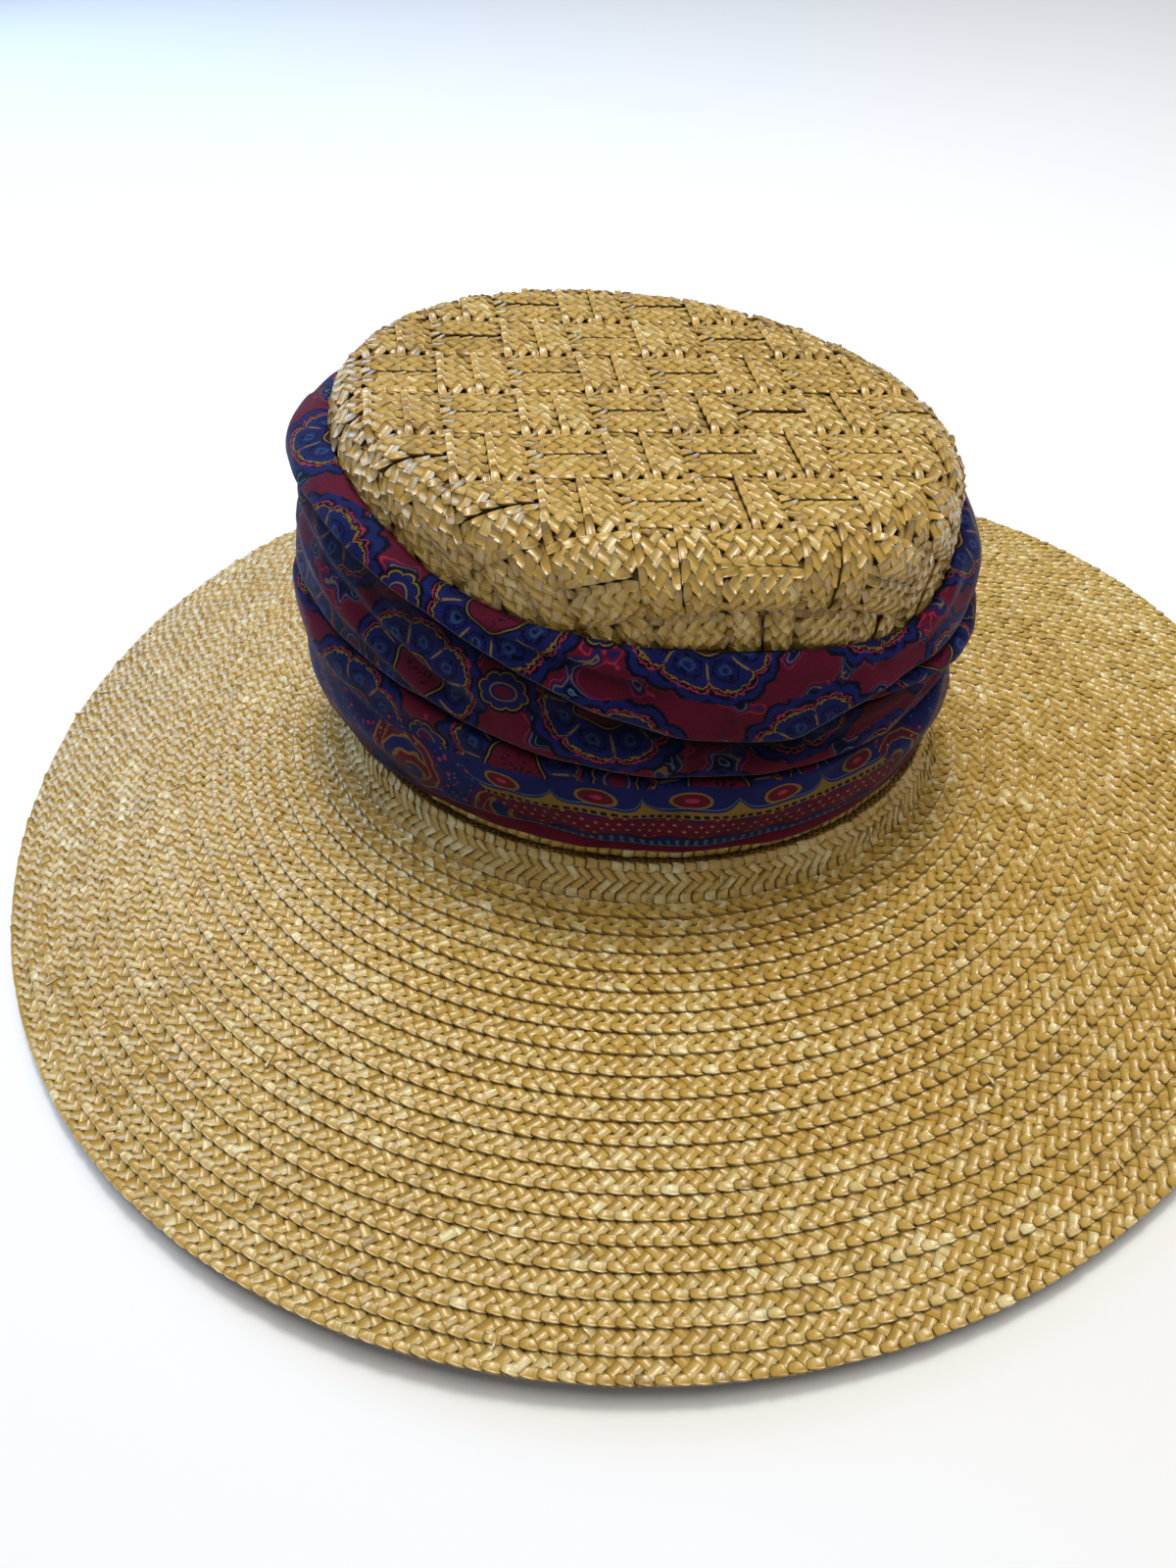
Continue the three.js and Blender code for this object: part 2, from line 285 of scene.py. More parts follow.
def mesh_object(name, points, faces, uv):
    """Smooth object from points in metres and faces, with a UV pair for each face corner."""
    mesh = bpy.data.meshes.new(name)
    mesh.from_pydata(points.tolist(), [], faces)
    layer = mesh.uv_layers.new(name="UVMap")
    layer.data.foreach_set("uv", np.asarray(uv, dtype=np.float32).ravel())
    mesh.polygons.foreach_set("use_smooth", [True] * len(mesh.polygons))
    mesh.update()
    thing = bpy.data.objects.new(name, mesh)
    bpy.context.scene.collection.objects.link(thing)
    return thing


def grid_faces(rows, columns, wrap=False):
    """Quads over a grid of points, with their corners in grid steps."""
    row, column = np.meshgrid(np.arange(rows - 1), np.arange(columns if wrap else columns - 1),
                              indexing="ij")
    corners = [(row, column), (row, column + 1), (row + 1, column + 1), (row + 1, column)]
    faces = np.stack([r * columns + c % columns for r, c in corners], axis=-1).reshape(-1, 4)
    steps = np.stack([np.stack([r, c], axis=-1) for r, c in corners], axis=-2).reshape(-1, 4, 2)
    return faces, steps


# Plaits: small closed strands laid side by side

# Kinds of strand: lean across the plait, half its length and half its width in pitches, and
# its end: plain, folded over at a plait's edge, or a bar or a loose tip that lies on the plait
STRAND_KINDS = {
    "rising": (1, 0.56, 0.25, "plain"),
    "falling": (-1, 0.56, 0.25, "plain"),
    "edge": (-1, 0.52, 0.53, "folded"),
    "rising_tile": (1, 0.37, 0.245, "plain"),
    "falling_tile": (-1, 0.37, 0.245, "plain"),
    "edge_tile": (-1, 0.30, 0.53, "folded"),
    "stitch": (0, 0.05, 0.5, "bar"),
    "tip": (0, 0.5, 0.14, "tip"),
}
STRAND_VARIETY = ((0.2, 0.03), (0.8, -0.08), (0.1, 0.12))
KIND_NUMBERS = {name: number * len(STRAND_VARIETY) for number, name in enumerate(STRAND_KINDS)}
STRAND_ALONG = (-1.0, -0.55, 0.55, 1.0)
STRAND_DEEP = 0.2


def strand_mesh(name, kind, ridge, twist):
    """Closed strand of a plait whose pitch is one unit, so that its instance's scale is the pitch.

    A strand lies at 45 degrees across its plait and dips under its neighbours at both ends.
    """
    lean, half_long, half_wide, end = kind
    stations = (-1.0, 0.0, 1.0) if end == "folded" else (-1.0, 1.0)
    long_steps, wide_steps = len(STRAND_ALONG), len(stations)
    along, across = np.meshgrid(STRAND_ALONG, stations, indexing="ij")
    dip = np.abs(along) > 0.9
    top = 0.1 + 0.02 * (1 - across ** 2) - 0.08 * dip
    top = top + 0.05 * ridge * (1 - np.abs(across)) * (1 - dip) + 0.4 * twist * across
    if end == "bar":
        x, y, top = half_wide * across * (1 - 0.1 * dip), half_long * along, 0.06 - 0.02 * dip
    elif end == "tip":
        x, y, top = half_wide * across * (1 - along) / 2, half_long * along, 0.1 + 0.07 * (along + 1)
    elif end == "folded":
        outer = along < 0
        x = across * (half_wide - 0.04 * along ** 2) + 0.26 * lean * (1 - along ** 2)
        y = half_long * along + np.where(outer & dip, 0.06 * across ** 2, 0)
        top = top + 0.08 * lean * across
    else:
        x = lean * (half_long * along - half_wide * across)
        y = half_long * along + half_wide * across
    upper = np.stack([x, y, top + 0 * along], axis=-1).reshape(-1, 3)
    faces, steps = grid_faces(long_steps, wide_steps)
    probe = upper[faces[0]]
    turned = np.cross(probe[1] - probe[0], probe[2] - probe[0])[2] < 0
    border = [step * wide_steps for step in range(long_steps)]
    border += [(long_steps - 1) * wide_steps + step for step in range(1, wide_steps)]
    border += [step * wide_steps + wide_steps - 1 for step in range(long_steps - 2, -1, -1)]
    border += list(range(wide_steps - 2, 0, -1))
    lower = upper[border] * (0.97, 0.97, 0.3) - (0, 0, STRAND_DEEP)
    count, around = len(upper), len(border)
    place = np.stack([along / 2 + 0.5, across / 2 + 0.5], axis=-1).reshape(-1, 2)
    # A folded strand's map stops short of its inner end, so the painted edge shade stays off that end.
    if end == "folded":
        place[:, 0] *= 0.7
    place = np.concatenate([place, place[border]])
    skirt = [[border[step], border[(step + 1) % around], count + (step + 1) % around, count + step]
             for step in range(around)]
    every = faces.tolist() + [face[::-1] for face in skirt] + [list(range(count, count + around))]
    if turned:
        every = [face[::-1] for face in every]
    uv = [tuple(place[corner]) for face in every for corner in face]
    strand = mesh_object(name, np.concatenate([upper, lower]), every, uv)
    strand.data.polygons.foreach_set("use_smooth", [index < len(faces) for index in range(len(every))])
    return strand


def strand_collection():
    """The strand shapes, in a collection that is unlinked again once every plait is laid."""
    found = bpy.data.collections.get("Strands")
    if found:
        return found
    strands = bpy.data.collections.new("Strands")
    bpy.context.scene.collection.children.link(strands)
    for kind, number in KIND_NUMBERS.items():
        for variant, (ridge, twist) in enumerate(STRAND_VARIETY):
            strand = strand_mesh(f"strand_{number + variant:02d}", STRAND_KINDS[kind], ridge, twist)
            bpy.context.scene.collection.objects.unlink(strand)
            strands.objects.link(strand)
    return strands


def laid_strands_tree():
    """Geometry Nodes: one strand on every point, turned along its plait, with fixed small disorder."""
    found = bpy.data.node_groups.get("Laid strands")
    if found:
        return found
    tree = bpy.data.node_groups.new("Laid strands", "GeometryNodeTree")
    tree.is_modifier = True
    for name, kind, default in (("Geometry", "NodeSocketGeometry", None),
                                ("Strands", "NodeSocketCollection", None),
                                ("Turn Jitter", "NodeSocketFloat", 0.06),
                                ("Tilt Jitter", "NodeSocketFloat", 0.12),
                                ("Size Jitter", "NodeSocketFloat", 0.06),
                                ("Seed", "NodeSocketInt", 1),
                                ("Material", "NodeSocketMaterial", None)):
        socket = tree.interface.new_socket(name, in_out="INPUT", socket_type=kind)
        if default is not None:
            socket.default_value = default
    tree.interface.new_socket("Geometry", in_out="OUTPUT", socket_type="NodeSocketGeometry")
    given = tree.nodes.new("NodeGroupInput").outputs
    points = new_node(tree, "GeometryNodeMeshToPoints", {"Mesh": given["Geometry"]})
    strands = new_node(tree, "GeometryNodeCollectionInfo", {
        "Collection": given["Strands"], "Separate Children": True, "Reset Children": True})
    stored = [new_node(tree, "GeometryNodeInputNamedAttribute", {"Name": name}, data_type=kind)
              for name, kind in (("along", "FLOAT_VECTOR"), ("out", "FLOAT_VECTOR"),
                                 ("size", "FLOAT_VECTOR"), ("kind", "INT"))]
    along, out, size, picked = (node.outputs["Attribute"] for node in stored)
    facing = new_node(tree, "FunctionNodeAxesToRotation", {"Primary Axis": out, "Secondary Axis": along},
                      primary_axis="Z", secondary_axis="X")
    reach = vector_of(tree, given["Tilt Jitter"], given["Tilt Jitter"], given["Turn Jitter"])
    back = new_node(tree, "ShaderNodeVectorMath", {0: reach, "Scale": -1}, operation="SCALE")
    jitter = new_node(tree, "FunctionNodeRandomValue", {
        "Min": back.outputs["Vector"], "Max": reach, "Seed": given["Seed"]}, data_type="FLOAT_VECTOR")
    euler = new_node(tree, "FunctionNodeEulerToRotation", {"Euler": jitter.outputs["Value"]})
    turned = new_node(tree, "FunctionNodeRotateRotation", {
        "Rotation": facing.outputs["Rotation"], "Rotate By": euler.outputs["Rotation"]},
        rotation_space="LOCAL")
    spread = Field(tree, given["Size Jitter"])
    grow = new_node(tree, "FunctionNodeRandomValue", {
        "Min": 1 - spread, "Max": 1 + spread, "Seed": given["Seed"]}, data_type="FLOAT")
    scale = new_node(tree, "ShaderNodeVectorMath", {0: size, "Scale": grow.outputs["Value"]},
                     operation="SCALE")
    place = new_node(tree, "GeometryNodeInstanceOnPoints", {
        "Points": points.outputs["Points"], "Instance": strands.outputs["Instances"], "Pick Instance": True,
        "Instance Index": picked, "Rotation": turned.outputs["Rotation"], "Scale": scale.outputs["Vector"]})
    real = new_node(tree, "GeometryNodeRealizeInstances", {"Geometry": place.outputs["Instances"]})
    finish = new_node(tree, "GeometryNodeSetMaterial", {
        "Geometry": real.outputs["Geometry"], "Material": given["Material"]})
    new_node(tree, "NodeGroupOutput", {"Geometry": finish.outputs["Geometry"]})
    return tree


def set_inputs(modifier, values):
    """Give a Geometry Nodes modifier its values, by socket identifier."""
    for item in modifier.node_group.interface.items_tree:
        if item.item_type == "SOCKET" and item.in_out == "INPUT" and item.name in values:
            modifier[item.identifier] = values[item.name]


def laid(name, spots, material, jitters, seed):
    """Plain mesh of strands laid on spots: place, along, out and size arrays, kinds and tones."""
    mesh = bpy.data.meshes.new(name + "_spots")
    mesh.from_pydata(world(spots["place"]).tolist(), [], [])
    vectors = {"along": spots["along"] @ TURN.T, "out": spots["out"] @ TURN.T, "size": spots["size"] * MM}
    for key, values in vectors.items():
        layer = mesh.attributes.new(key, "FLOAT_VECTOR", "POINT")
        layer.data.foreach_set("vector", values.astype(np.float32).ravel())
    mesh.attributes.new("kind", "INT", "POINT").data.foreach_set("value", spots["kind"].astype(np.int32))
    mesh.attributes.new("tone", "FLOAT", "POINT").data.foreach_set("value", spots["tone"].astype(np.float32))
    source = bpy.data.objects.new(name + "_spots", mesh)
    bpy.context.scene.collection.objects.link(source)
    modifier = source.modifiers.new("Laid strands", "NODES")
    modifier.node_group = laid_strands_tree()
    turn, tilt, size = jitters
    set_inputs(modifier, {"Strands": strand_collection(), "Turn Jitter": turn, "Tilt Jitter": tilt,
                          "Size Jitter": size, "Seed": seed, "Material": material})
    return made_plain(source, name)


def made_plain(source, name):
    """The evaluated object as a plain mesh. The source goes."""
    depsgraph = bpy.context.evaluated_depsgraph_get()
    mesh = bpy.data.meshes.new_from_object(source.evaluated_get(depsgraph), preserve_all_data_layers=True,
                                           depsgraph=depsgraph)
    mesh.name = name
    for key in ("along", "out", "size", "kind"):
        if key in mesh.attributes:
            mesh.attributes.remove(mesh.attributes[key])
    piece = bpy.data.objects.new(name, mesh)
    bpy.context.scene.collection.objects.link(piece)
    old = source.data
    bpy.data.objects.remove(source)
    bpy.data.meshes.remove(old)
    if not len(mesh.polygons):
        raise RuntimeError(f"{name} came out empty")
    return piece


def frames(point_at, angle, across, step=0.01):
    """Places and directions on a surface: along the angle, and out of it."""
    here = point_at(angle, across)
    along = point_at(angle + step, across) - point_at(angle - step, across)
    aside = point_at(angle, across + step) - point_at(angle, across - step)
    return here, unit(along), unit(np.cross(along, aside))


def joined(spots):
    return {key: np.concatenate([part[key] for part in spots]) for key in spots[0]}


def plait_tones(rng, count, patch=14):
    """Tones that wander along a plait, with a few pale and a few dark strands."""
    slow = np.interp(np.arange(count), np.arange(0, count + patch, patch),
                     rng.uniform(0.35, 0.65, len(np.arange(0, count + patch, patch))))
    tone = slow + rng.normal(0, 0.16, count)
    tone = np.where(rng.random(count) < 0.05, rng.uniform(0.85, 1.0, count), tone)
    return np.clip(tone, 0, 1)


def frayed(spots, share, size, seed):
    """Pale loose tips that stand up from a few of a plait's strands."""
    rng = np.random.default_rng(seed)
    picked = rng.random(len(spots["kind"])) < share
    count = int(picked.sum())
    tips = {key: values[picked] for key, values in spots.items()}
    tips["place"] = tips["place"] + tips["out"] * 0.35
    tips["size"] = rng.uniform(0.6, 1.2, count)[:, None] * np.array(size)
    tips["kind"] = KIND_NUMBERS["tip"] + rng.integers(0, len(STRAND_VARIETY), count)
    tips["tone"] = rng.uniform(0.8, 1.0, count)
    return tips


def row_spots(rng, point_at, perimeter, pitch, kind, size, phase=0.0, lifted=0.3, flip=False):
    """One row of strands round the hat: point_at takes angles and a place across the row."""
    count = round(perimeter / pitch)
    angle = (np.arange(count) + phase) * 2 * np.pi / count
    here, along, out = frames(point_at, angle, np.zeros(count))
    waver = np.interp(angle, np.linspace(0, 2 * np.pi, 61), rng.uniform(-0.12, 0.12, 61))
    across = unit(np.cross(out, along))
    return {
        "place": here + out * lifted + across * waver[:, None],
        "along": -along if flip else along,
        "out": out,
        "size": np.tile(np.array(size, dtype=float), (count, 1)),
        "kind": KIND_NUMBERS[kind] + rng.integers(0, len(STRAND_VARIETY), count),
        "tone": plait_tones(rng, count),
    }


BRIM_PITCH = 4.7
ROW_LOW, ROW_HIGH = -0.35, 0.95
BRIM_PARTS = (("brim_plait_inner", 0, 8), ("brim_plait_middle", 8, 13), ("brim_plait_outer", 13, 17),
              ("brim_plait_rim", 17, 21))
# Columns of strands in a row: place across it, kind, height and shift along it in pitches
BRIM_COLUMNS = ((0.12, "falling_tile", 4.3, 0.0), (0.43, "rising_tile", 4.3, 0.5),
                (0.79, "edge_tile", 4.9, 0.1))
STITCH_PITCH = 7.6
STITCH_SIZE = (3.6, 4.6, 2.0)
STITCHES_SEEN = 0.62


def brim_line(row, place, rise):
    """Line along one of the brim's rows: its point at an angle and a small move across the row."""
    def point_at(angle, across):
        share = (row + place - across * 0.1) / BRIM_ROWS
        return brim_point(angle, share, mix(ROW_LOW, ROW_HIGH, rise - across * 0.1))
    return point_at


def row_length(row):
    ring = brim_point(np.linspace(0, 2 * np.pi, 181), (row + 0.5) / BRIM_ROWS, 0.0)
    return np.linalg.norm(np.diff(ring, axis=0), axis=-1).sum()


def brim_spots(first, last):
    """Strands of some of the brim's rows: slanting ones inside, folded ones at the outer edge."""
    rng = np.random.default_rng(40 + first)
    spots = []
    for row in range(first, last):
        shift = rng.random()
        for middle, kind, tall, phase in BRIM_COLUMNS:
            spots.append(row_spots(rng, brim_line(row, middle, middle), row_length(row), BRIM_PITCH,
                                   kind, (BRIM_PITCH, tall, 4.0), shift + phase))
    return joined(spots)


def stitch_spots():
    """Short pale stitches along the middle of each of the brim's rows, some of them sunk and unseen."""
    rng = np.random.default_rng(77)
    spots = []
    for row in range(BRIM_ROWS):
        line = row_spots(rng, brim_line(row, 0.59, 0.6), row_length(row), STITCH_PITCH, "stitch",
                         STITCH_SIZE, rng.random(), lifted=0.42)
        seen = rng.random(len(line["kind"])) < STITCHES_SEEN
        line = {key: values[seen] for key, values in line.items()}
        line["tone"] = rng.uniform(0.75, 1.0, len(line["tone"]))
        spots.append(line)
    return joined(spots)


COLLAR_ROWS = ((0.13, "edge", False), (0.38, "rising", False), (0.63, "falling", False),
               (0.87, "edge", True))
COLLAR_RADIUS = 97
COLLAR_PITCH = 3.6


def collar_spots():
    """Strands of the wide plait that leans against the foot of the crown."""
    rng = np.random.default_rng(7)
    spots = []
    for index, (middle, kind, flip) in enumerate(COLLAR_ROWS):
        def point_at(angle, across, middle=middle):
            share = middle + across * 0.1
            height = mix(GAP, COLLAR_HEIGHT, share) + 0 * angle
            return wall_point(angle, height, mix(COLLAR_REACH, GAP + COLLAR_WALL, share))
        spots.append(row_spots(rng, point_at, 2 * np.pi * COLLAR_RADIUS, COLLAR_PITCH, kind,
                               (COLLAR_PITCH, 3.45, 3.2), 0.5 * index, lifted=0.35, flip=flip))
    spots = joined(spots)
    spots["tone"] = np.clip(spots["tone"] + rng.normal(0.16, 0.12, len(spots["tone"])), 0, 1)
    return spots


STRIP_ACROSS, STRIP_BACK = 11.6, 10.6
STRIP_ROWS = (("edge_tile", False), ("rising_tile", False), ("falling_tile", False), ("rising_tile", False),
              ("edge_tile", True))
STRIP_STEPS = 5
STRIP_FILL = 0.96
WEAVE_TURN = 9.5
WEAVE_ORIGIN = (4.0, 3.0)
WEAVE_REACH = 8
WEAVE_RISE = 0.85
WEAVE_UNDER = 9.0


def crown_point(plan, rise=0.0):
    """Point of the crown whose top and wall are laid out flat round the top's edge."""
    turn = np.radians(SHOULDER["turn"])
    x = np.cos(turn) * plan[..., 0] + np.sin(turn) * plan[..., 1] - SHOULDER["shift"]
    y = -np.sin(turn) * plan[..., 0] + np.cos(turn) * plan[..., 1]
    long, wide = SHOULDER["long"], SHOULDER["wide"]
    angle = np.arctan2(y * long, x * wide)
    for _ in range(12):
        foot = np.stack([long * np.cos(angle), wide * np.sin(angle)], axis=-1)
        heading = np.stack([-long * np.sin(angle), wide * np.cos(angle)], axis=-1)
        speed = np.linalg.norm(heading, axis=-1)
        normal = np.stack([heading[..., 1], -heading[..., 0]], axis=-1) / speed[..., None]
        away = np.stack([x, y], axis=-1) - foot
        offset = (away * normal).sum(axis=-1)
        bent = np.maximum(1 + offset * long * wide / speed ** 3, 0.35)
        angle = angle + (away * heading).sum(axis=-1) / speed ** 2 / bent
    run = offset + CROWN_EDGE
    arc = np.clip(run / CROWN_EDGE, 0, np.pi / 2)
    round_rise = CROWN_EDGE + rise
    edge = oval_point(SHOULDER, angle, -CROWN_EDGE + round_rise * np.sin(arc))
    edge = sloped_point(edge, SHOULDER_HEIGHT + round_rise * np.cos(arc))
    wall = wall_point(angle, SHOULDER_HEIGHT - np.maximum(run - CROWN_EDGE * np.pi / 2, 0), rise)
    flat = sloped_point(plan, CROWN_HEIGHT + rise + 0 * run)
    place = np.where((run < 0)[..., None], flat, np.where((arc < np.pi / 2)[..., None], edge, wall))
    return place, angle, SHOULDER_HEIGHT - (run - CROWN_EDGE * np.pi / 2)


def weave_spots():
    """Strands of the crown: pairs of plait strips woven two over two, over the top and down the wall."""
    rng = np.random.default_rng(11)
    turn = math.radians(WEAVE_TURN)
    right = np.array([math.cos(turn), math.sin(turn)])
    back = np.array([-right[1], right[0]])
    cells = []
    for column in range(-WEAVE_REACH, WEAVE_REACH + 1):
        for line in range(-WEAVE_REACH, WEAVE_REACH + 1):
            across_way = (column + line) % 2 == 0
            for strip in range(2):
                # The third draw isn't used. It keeps its place in the order of the draws.
                lifted, shade, _, skew = (rng.uniform(-0.2, 0.25), rng.uniform(-0.1, 0.1), rng.random(),
                                          rng.uniform(-0.03, 0.03))
                for row in range(len(STRIP_ROWS)):
                    for step in range(STRIP_STEPS):
                        cells.append((column, line, across_way, strip, row, step, lifted, shade, skew))
    column, line, across_way, strip, row, step, lifted, shade, skew = (
        np.array(item) for item in zip(*cells))
    wide = np.where(across_way, STRIP_ACROSS, STRIP_BACK)
    long = 2 * np.where(across_way, STRIP_BACK, STRIP_ACROSS)
    pitch = long / STRIP_STEPS
    tall = wide * STRIP_FILL / len(STRIP_ROWS)
    length = (step + 0.25 + 0.5 * (row % 2)) * pitch
    width = (row + 0.5) * tall + strip * wide + skew * (length - long / 2) + lifted

    def point(long_shift, wide_shift):
        """Place of each strand, moved a little along and across its strip."""
        run, side = length + long_shift, width + wide_shift
        u = np.where(across_way, run, side) + 2 * STRIP_BACK * column + WEAVE_ORIGIN[0]
        v = np.where(across_way, side, run) + 2 * STRIP_ACROSS * line + WEAVE_ORIGIN[1]
        near = np.minimum(run, long - run)
        bow = WEAVE_RISE * (np.clip(near / 2.2, -1.0, 1.0) - 0.4)
        part = (side - strip * wide) / wide - 0.5
        plan = u[:, None] * right + v[:, None] * back
        down = np.clip((np.linalg.norm(plan, axis=-1) - 80.0) / 12.0, 0.0, 1.0)
        sag = part ** 2 * (1.5 + 2.2 * down) - 0.15 + part * (0.5 + 0.5 * down)
        sag = sag + 0.5 * (side / wide - 1) ** 4
        return crown_point(plan, 0.95 + bow - sag + lifted * 0.6)

    nudge = 0.4
    here, angle, height = point(0, 0)
    along = (point(nudge, 0)[0] - point(-nudge, 0)[0]) / (2 * nudge)
    across = (point(0, nudge)[0] - point(0, -nudge)[0]) / (2 * nudge)
    sense = np.where(across_way, 1.0, -1.0)
    out = unit(np.cross(along, across)) * sense[:, None]
    turned = sense * np.array([-1.0 if flip else 1.0 for _, flip in STRIP_ROWS])[row]
    grow = np.stack([np.linalg.norm(along, axis=-1) * pitch, np.linalg.norm(across, axis=-1) * tall * 2,
                     0.55 * pitch], axis=-1)
    kinds = np.array([KIND_NUMBERS[kind] for kind, _ in STRIP_ROWS])[row]
    kept = height > scarf_line("top", wall_azimuth(angle)) - WEAVE_UNDER
    on_wall = height < SHOULDER_HEIGHT
    # Painted shade in the strands' tone: darker where a strip dives under the strip across it, along each
    # strip's outer rows, where the grooves between strips lie, and over the whole wall, which faces away
    # from the light.
    painted_shade = 0.3 * np.exp(-np.minimum(length, long - length) / 1.6) + 0.1 * (row % 4 == 0)
    painted_shade += on_wall * (0.06 + 0.16 * (row % 4 == 0))
    varied = np.where(on_wall, 0.22, 0.18)
    spots = {
        "place": here,
        "along": unit(along) * turned[:, None],
        "out": out,
        "size": grow,
        "kind": kinds + rng.integers(0, len(STRAND_VARIETY), len(row)),
        "tone": np.clip(0.45 + shade - painted_shade + rng.normal(0, 1, len(row)) * varied, 0, 1),
    }
    return {key: values[kept] for key, values in spots.items()}


FOOT_ROWS = ((14.6, "edge"), (17.6, "rising"), (20.6, "falling"))
FOOT_RADIUS = 91
FOOT_PITCH = 3.4


def foot_spots():
    """Strands of the crown's wall that show between the collar and the scarf."""
    rng = np.random.default_rng(19)
    spots = []
    for index, (height, kind) in enumerate(FOOT_ROWS):
        def point_at(angle, across, height=height):
            return wall_point(angle, height + across + 0 * angle, 0.0)
        spots.append(row_spots(rng, point_at, 2 * np.pi * FOOT_RADIUS, FOOT_PITCH, kind,
                               (FOOT_PITCH, 3.2, 2.2), 0.5 * index, lifted=0.2))
    return joined(spots)


# Scarf

def scarf_line(name, azimuth):
    """One of the scarf's lines at azimuths in degrees, eased between the stations."""
    column = LINES.index(name)
    known = np.array([station[0] for station in SCARF_STATIONS], dtype=float)
    value = np.array([station[column] for station in SCARF_STATIONS], dtype=float)
    known = np.concatenate([known - 360, known, known + 360])
    value = np.tile(value, 3)
    turned = (np.asarray(azimuth) + 180) % 360 - 180
    ease = np.hanning(EASE + 2)[1:-1]
    shifts = np.arange(EASE) - EASE // 2
    return sum(weight * np.interp(turned + shift, known, value)
               for weight, shift in zip(ease, shifts)) / ease.sum()


def smooth_path(values, steps):
    """Catmull-Rom curve through the rows of an array, with a number of steps for each span."""
    padded = np.concatenate([2 * values[:1] - values[1:2], values, 2 * values[-1:] - values[-2:-1]])
    shape = (-1,) + (1,) * (values.ndim - 1)
    spans = []
    for index, count in enumerate(steps):
        t = np.linspace(0, 1, count, endpoint=False).reshape(shape)
        a, b, c, d = padded[index:index + 4]
        spans.append(0.5 * (2 * b + (c - a) * t + (2 * a - 5 * b + 4 * c - d) * t ** 2
                            + (3 * b - a - 3 * c + d) * t ** 3))
    return np.concatenate(spans + [values[-1:]])


# Creases drawn into the cloth: azimuth and share of the height at both ends, depth, and width
CREASES = (
    (-178, 0.80, -112, 0.60, 3.0, 0.045),
    (-176, 0.66, -118, 0.50, 2.2, 0.04),
    (-142, 0.97, -72, 0.84, 2.6, 0.04),
    (-170, 0.40, -128, 0.26, 1.6, 0.05),
    (-112, 0.68, -40, 0.54, 2.2, 0.05),
    (-84, 0.49, -26, 0.60, 1.6, 0.045),
    (-60, 0.86, -8, 0.93, 1.6, 0.045),
    (-52, 0.38, 12, 0.50, 1.6, 0.045),
    (-36, 0.50, 14, 0.64, 2.2, 0.045),
    (26, 0.5, 110, 0.66, 2.0, 0.05),
    (60, 0.86, 150, 0.74, 2.2, 0.05),
    (112, 0.42, 190, 0.58, 2.2, 0.05),
)


def scarf_creases(azimuth, share):
    """Depth of the drawn creases: steep on the upper side and soft below."""
    deep = 0 * share
    for start, low, end, high, depth, width in CREASES:
        place = ((azimuth - start + 90) % 360 - 90) / (end - start)
        along = np.clip(place, 0, 1)
        ends = np.clip(np.minimum(place, 1 - place) / 0.3 + 0.1, 0, 1)
        away = (share - mix(low, high, along) - 0.03 * np.sin(along * np.pi)) / width
        profile = np.where(away > 0, np.exp(-(away * 1.6) ** 2), np.exp(-(away * 0.6) ** 2))
        deep = deep + depth * np.sin(ends * np.pi / 2) * profile
    return deep


def scarf_wrinkle(azimuth, share):
    """Small soft ridges of the cloth, most of them where it is drawn up on the left and right."""
    turn = np.radians(azimuth)
    left = np.exp(-((azimuth + 152) / 38) ** 2)
    right = np.exp(-((azimuth + 12) / 30) ** 2)
    drawn = np.sin(share * 17 + turn * 9) + 0.6 * np.sin(share * 29 - turn * 5 + 1)
    slant = np.sin(turn * 13 - share * 11 + 1.3 * np.sin(turn * 4))
    fine = np.sin(turn * 31 + share * 9) * np.sin(share * 33 + turn * 7)
    ripples = 0.18 * fine + 0.4 * slant * (1 - left) + 0.8 * left * drawn + 0.6 * right * drawn
    return ripples + 0.5 - scarf_creases(azimuth, share)


def sheltered(height, offset):
    """How much the cloth above hides each point from the light, from 0 to 1."""
    hidden = np.zeros_like(height)
    for row in range(len(height)):
        above = height - height[row]
        beyond = offset - offset[row] - 0.25
        steep = np.where((above > 0.2) & (above < 16), beyond / (above + 0.8), 0)
        hidden[row] = steep.max(axis=0)
    return np.clip(hidden / 0.75, 0, 1)


def drawn_lengths(points):
    """Length of the cloth's path up to each row of its points."""
    lengths = np.linalg.norm(np.diff(points, axis=0), axis=-1)
    return np.concatenate([np.zeros((1, points.shape[1])), np.cumsum(lengths, axis=0)])


def scarf_surface():
    """Points of the cloth round the hat, their places on the flat cloth in millimetres, and shelter."""
    angle = np.linspace(0, 2 * np.pi, SCARF_AROUND, endpoint=False) + np.pi / 2
    azimuth = wall_azimuth(angle)
    lines = {name: scarf_line(name, azimuth) for name in LINES[1:]}
    lines["opening"] = lines["high_pleat"] - lines["gap"]
    rows = []
    for start, end, share, rise, pleats, puffs in SCARF_FOLDS:
        height = mix(lines[start], lines[end], share) + rise
        offset = GAP + CLOTH + pleats * PLEAT + puffs * lines["puff"]
        rows.append(np.stack([height, offset], axis=-1))
    rows = np.array(rows)
    spans = np.linalg.norm(np.diff(rows, axis=0), axis=-1).mean(axis=-1)
    steps = np.clip(np.rint(spans / SCARF_STEP), 2, 14).astype(int)
    path = smooth_path(rows, steps)
    height, offset = path[..., 0], path[..., 1]
    share = (height - lines["edge"]) / (lines["top"] - lines["edge"])
    inside = offset < GAP + CLOTH
    offset = offset + np.where(inside, 0, scarf_wrinkle(azimuth[None, :] + 0 * height, share))
    offset = np.maximum(offset, GAP + 0.35)
    points = wall_point(np.broadcast_to(angle, height.shape), height, offset)
    drawn = drawn_lengths(points)
    return points, drawn - drawn[steps[:SCARF_EDGE_FOLD].sum()], sheltered(height, offset)


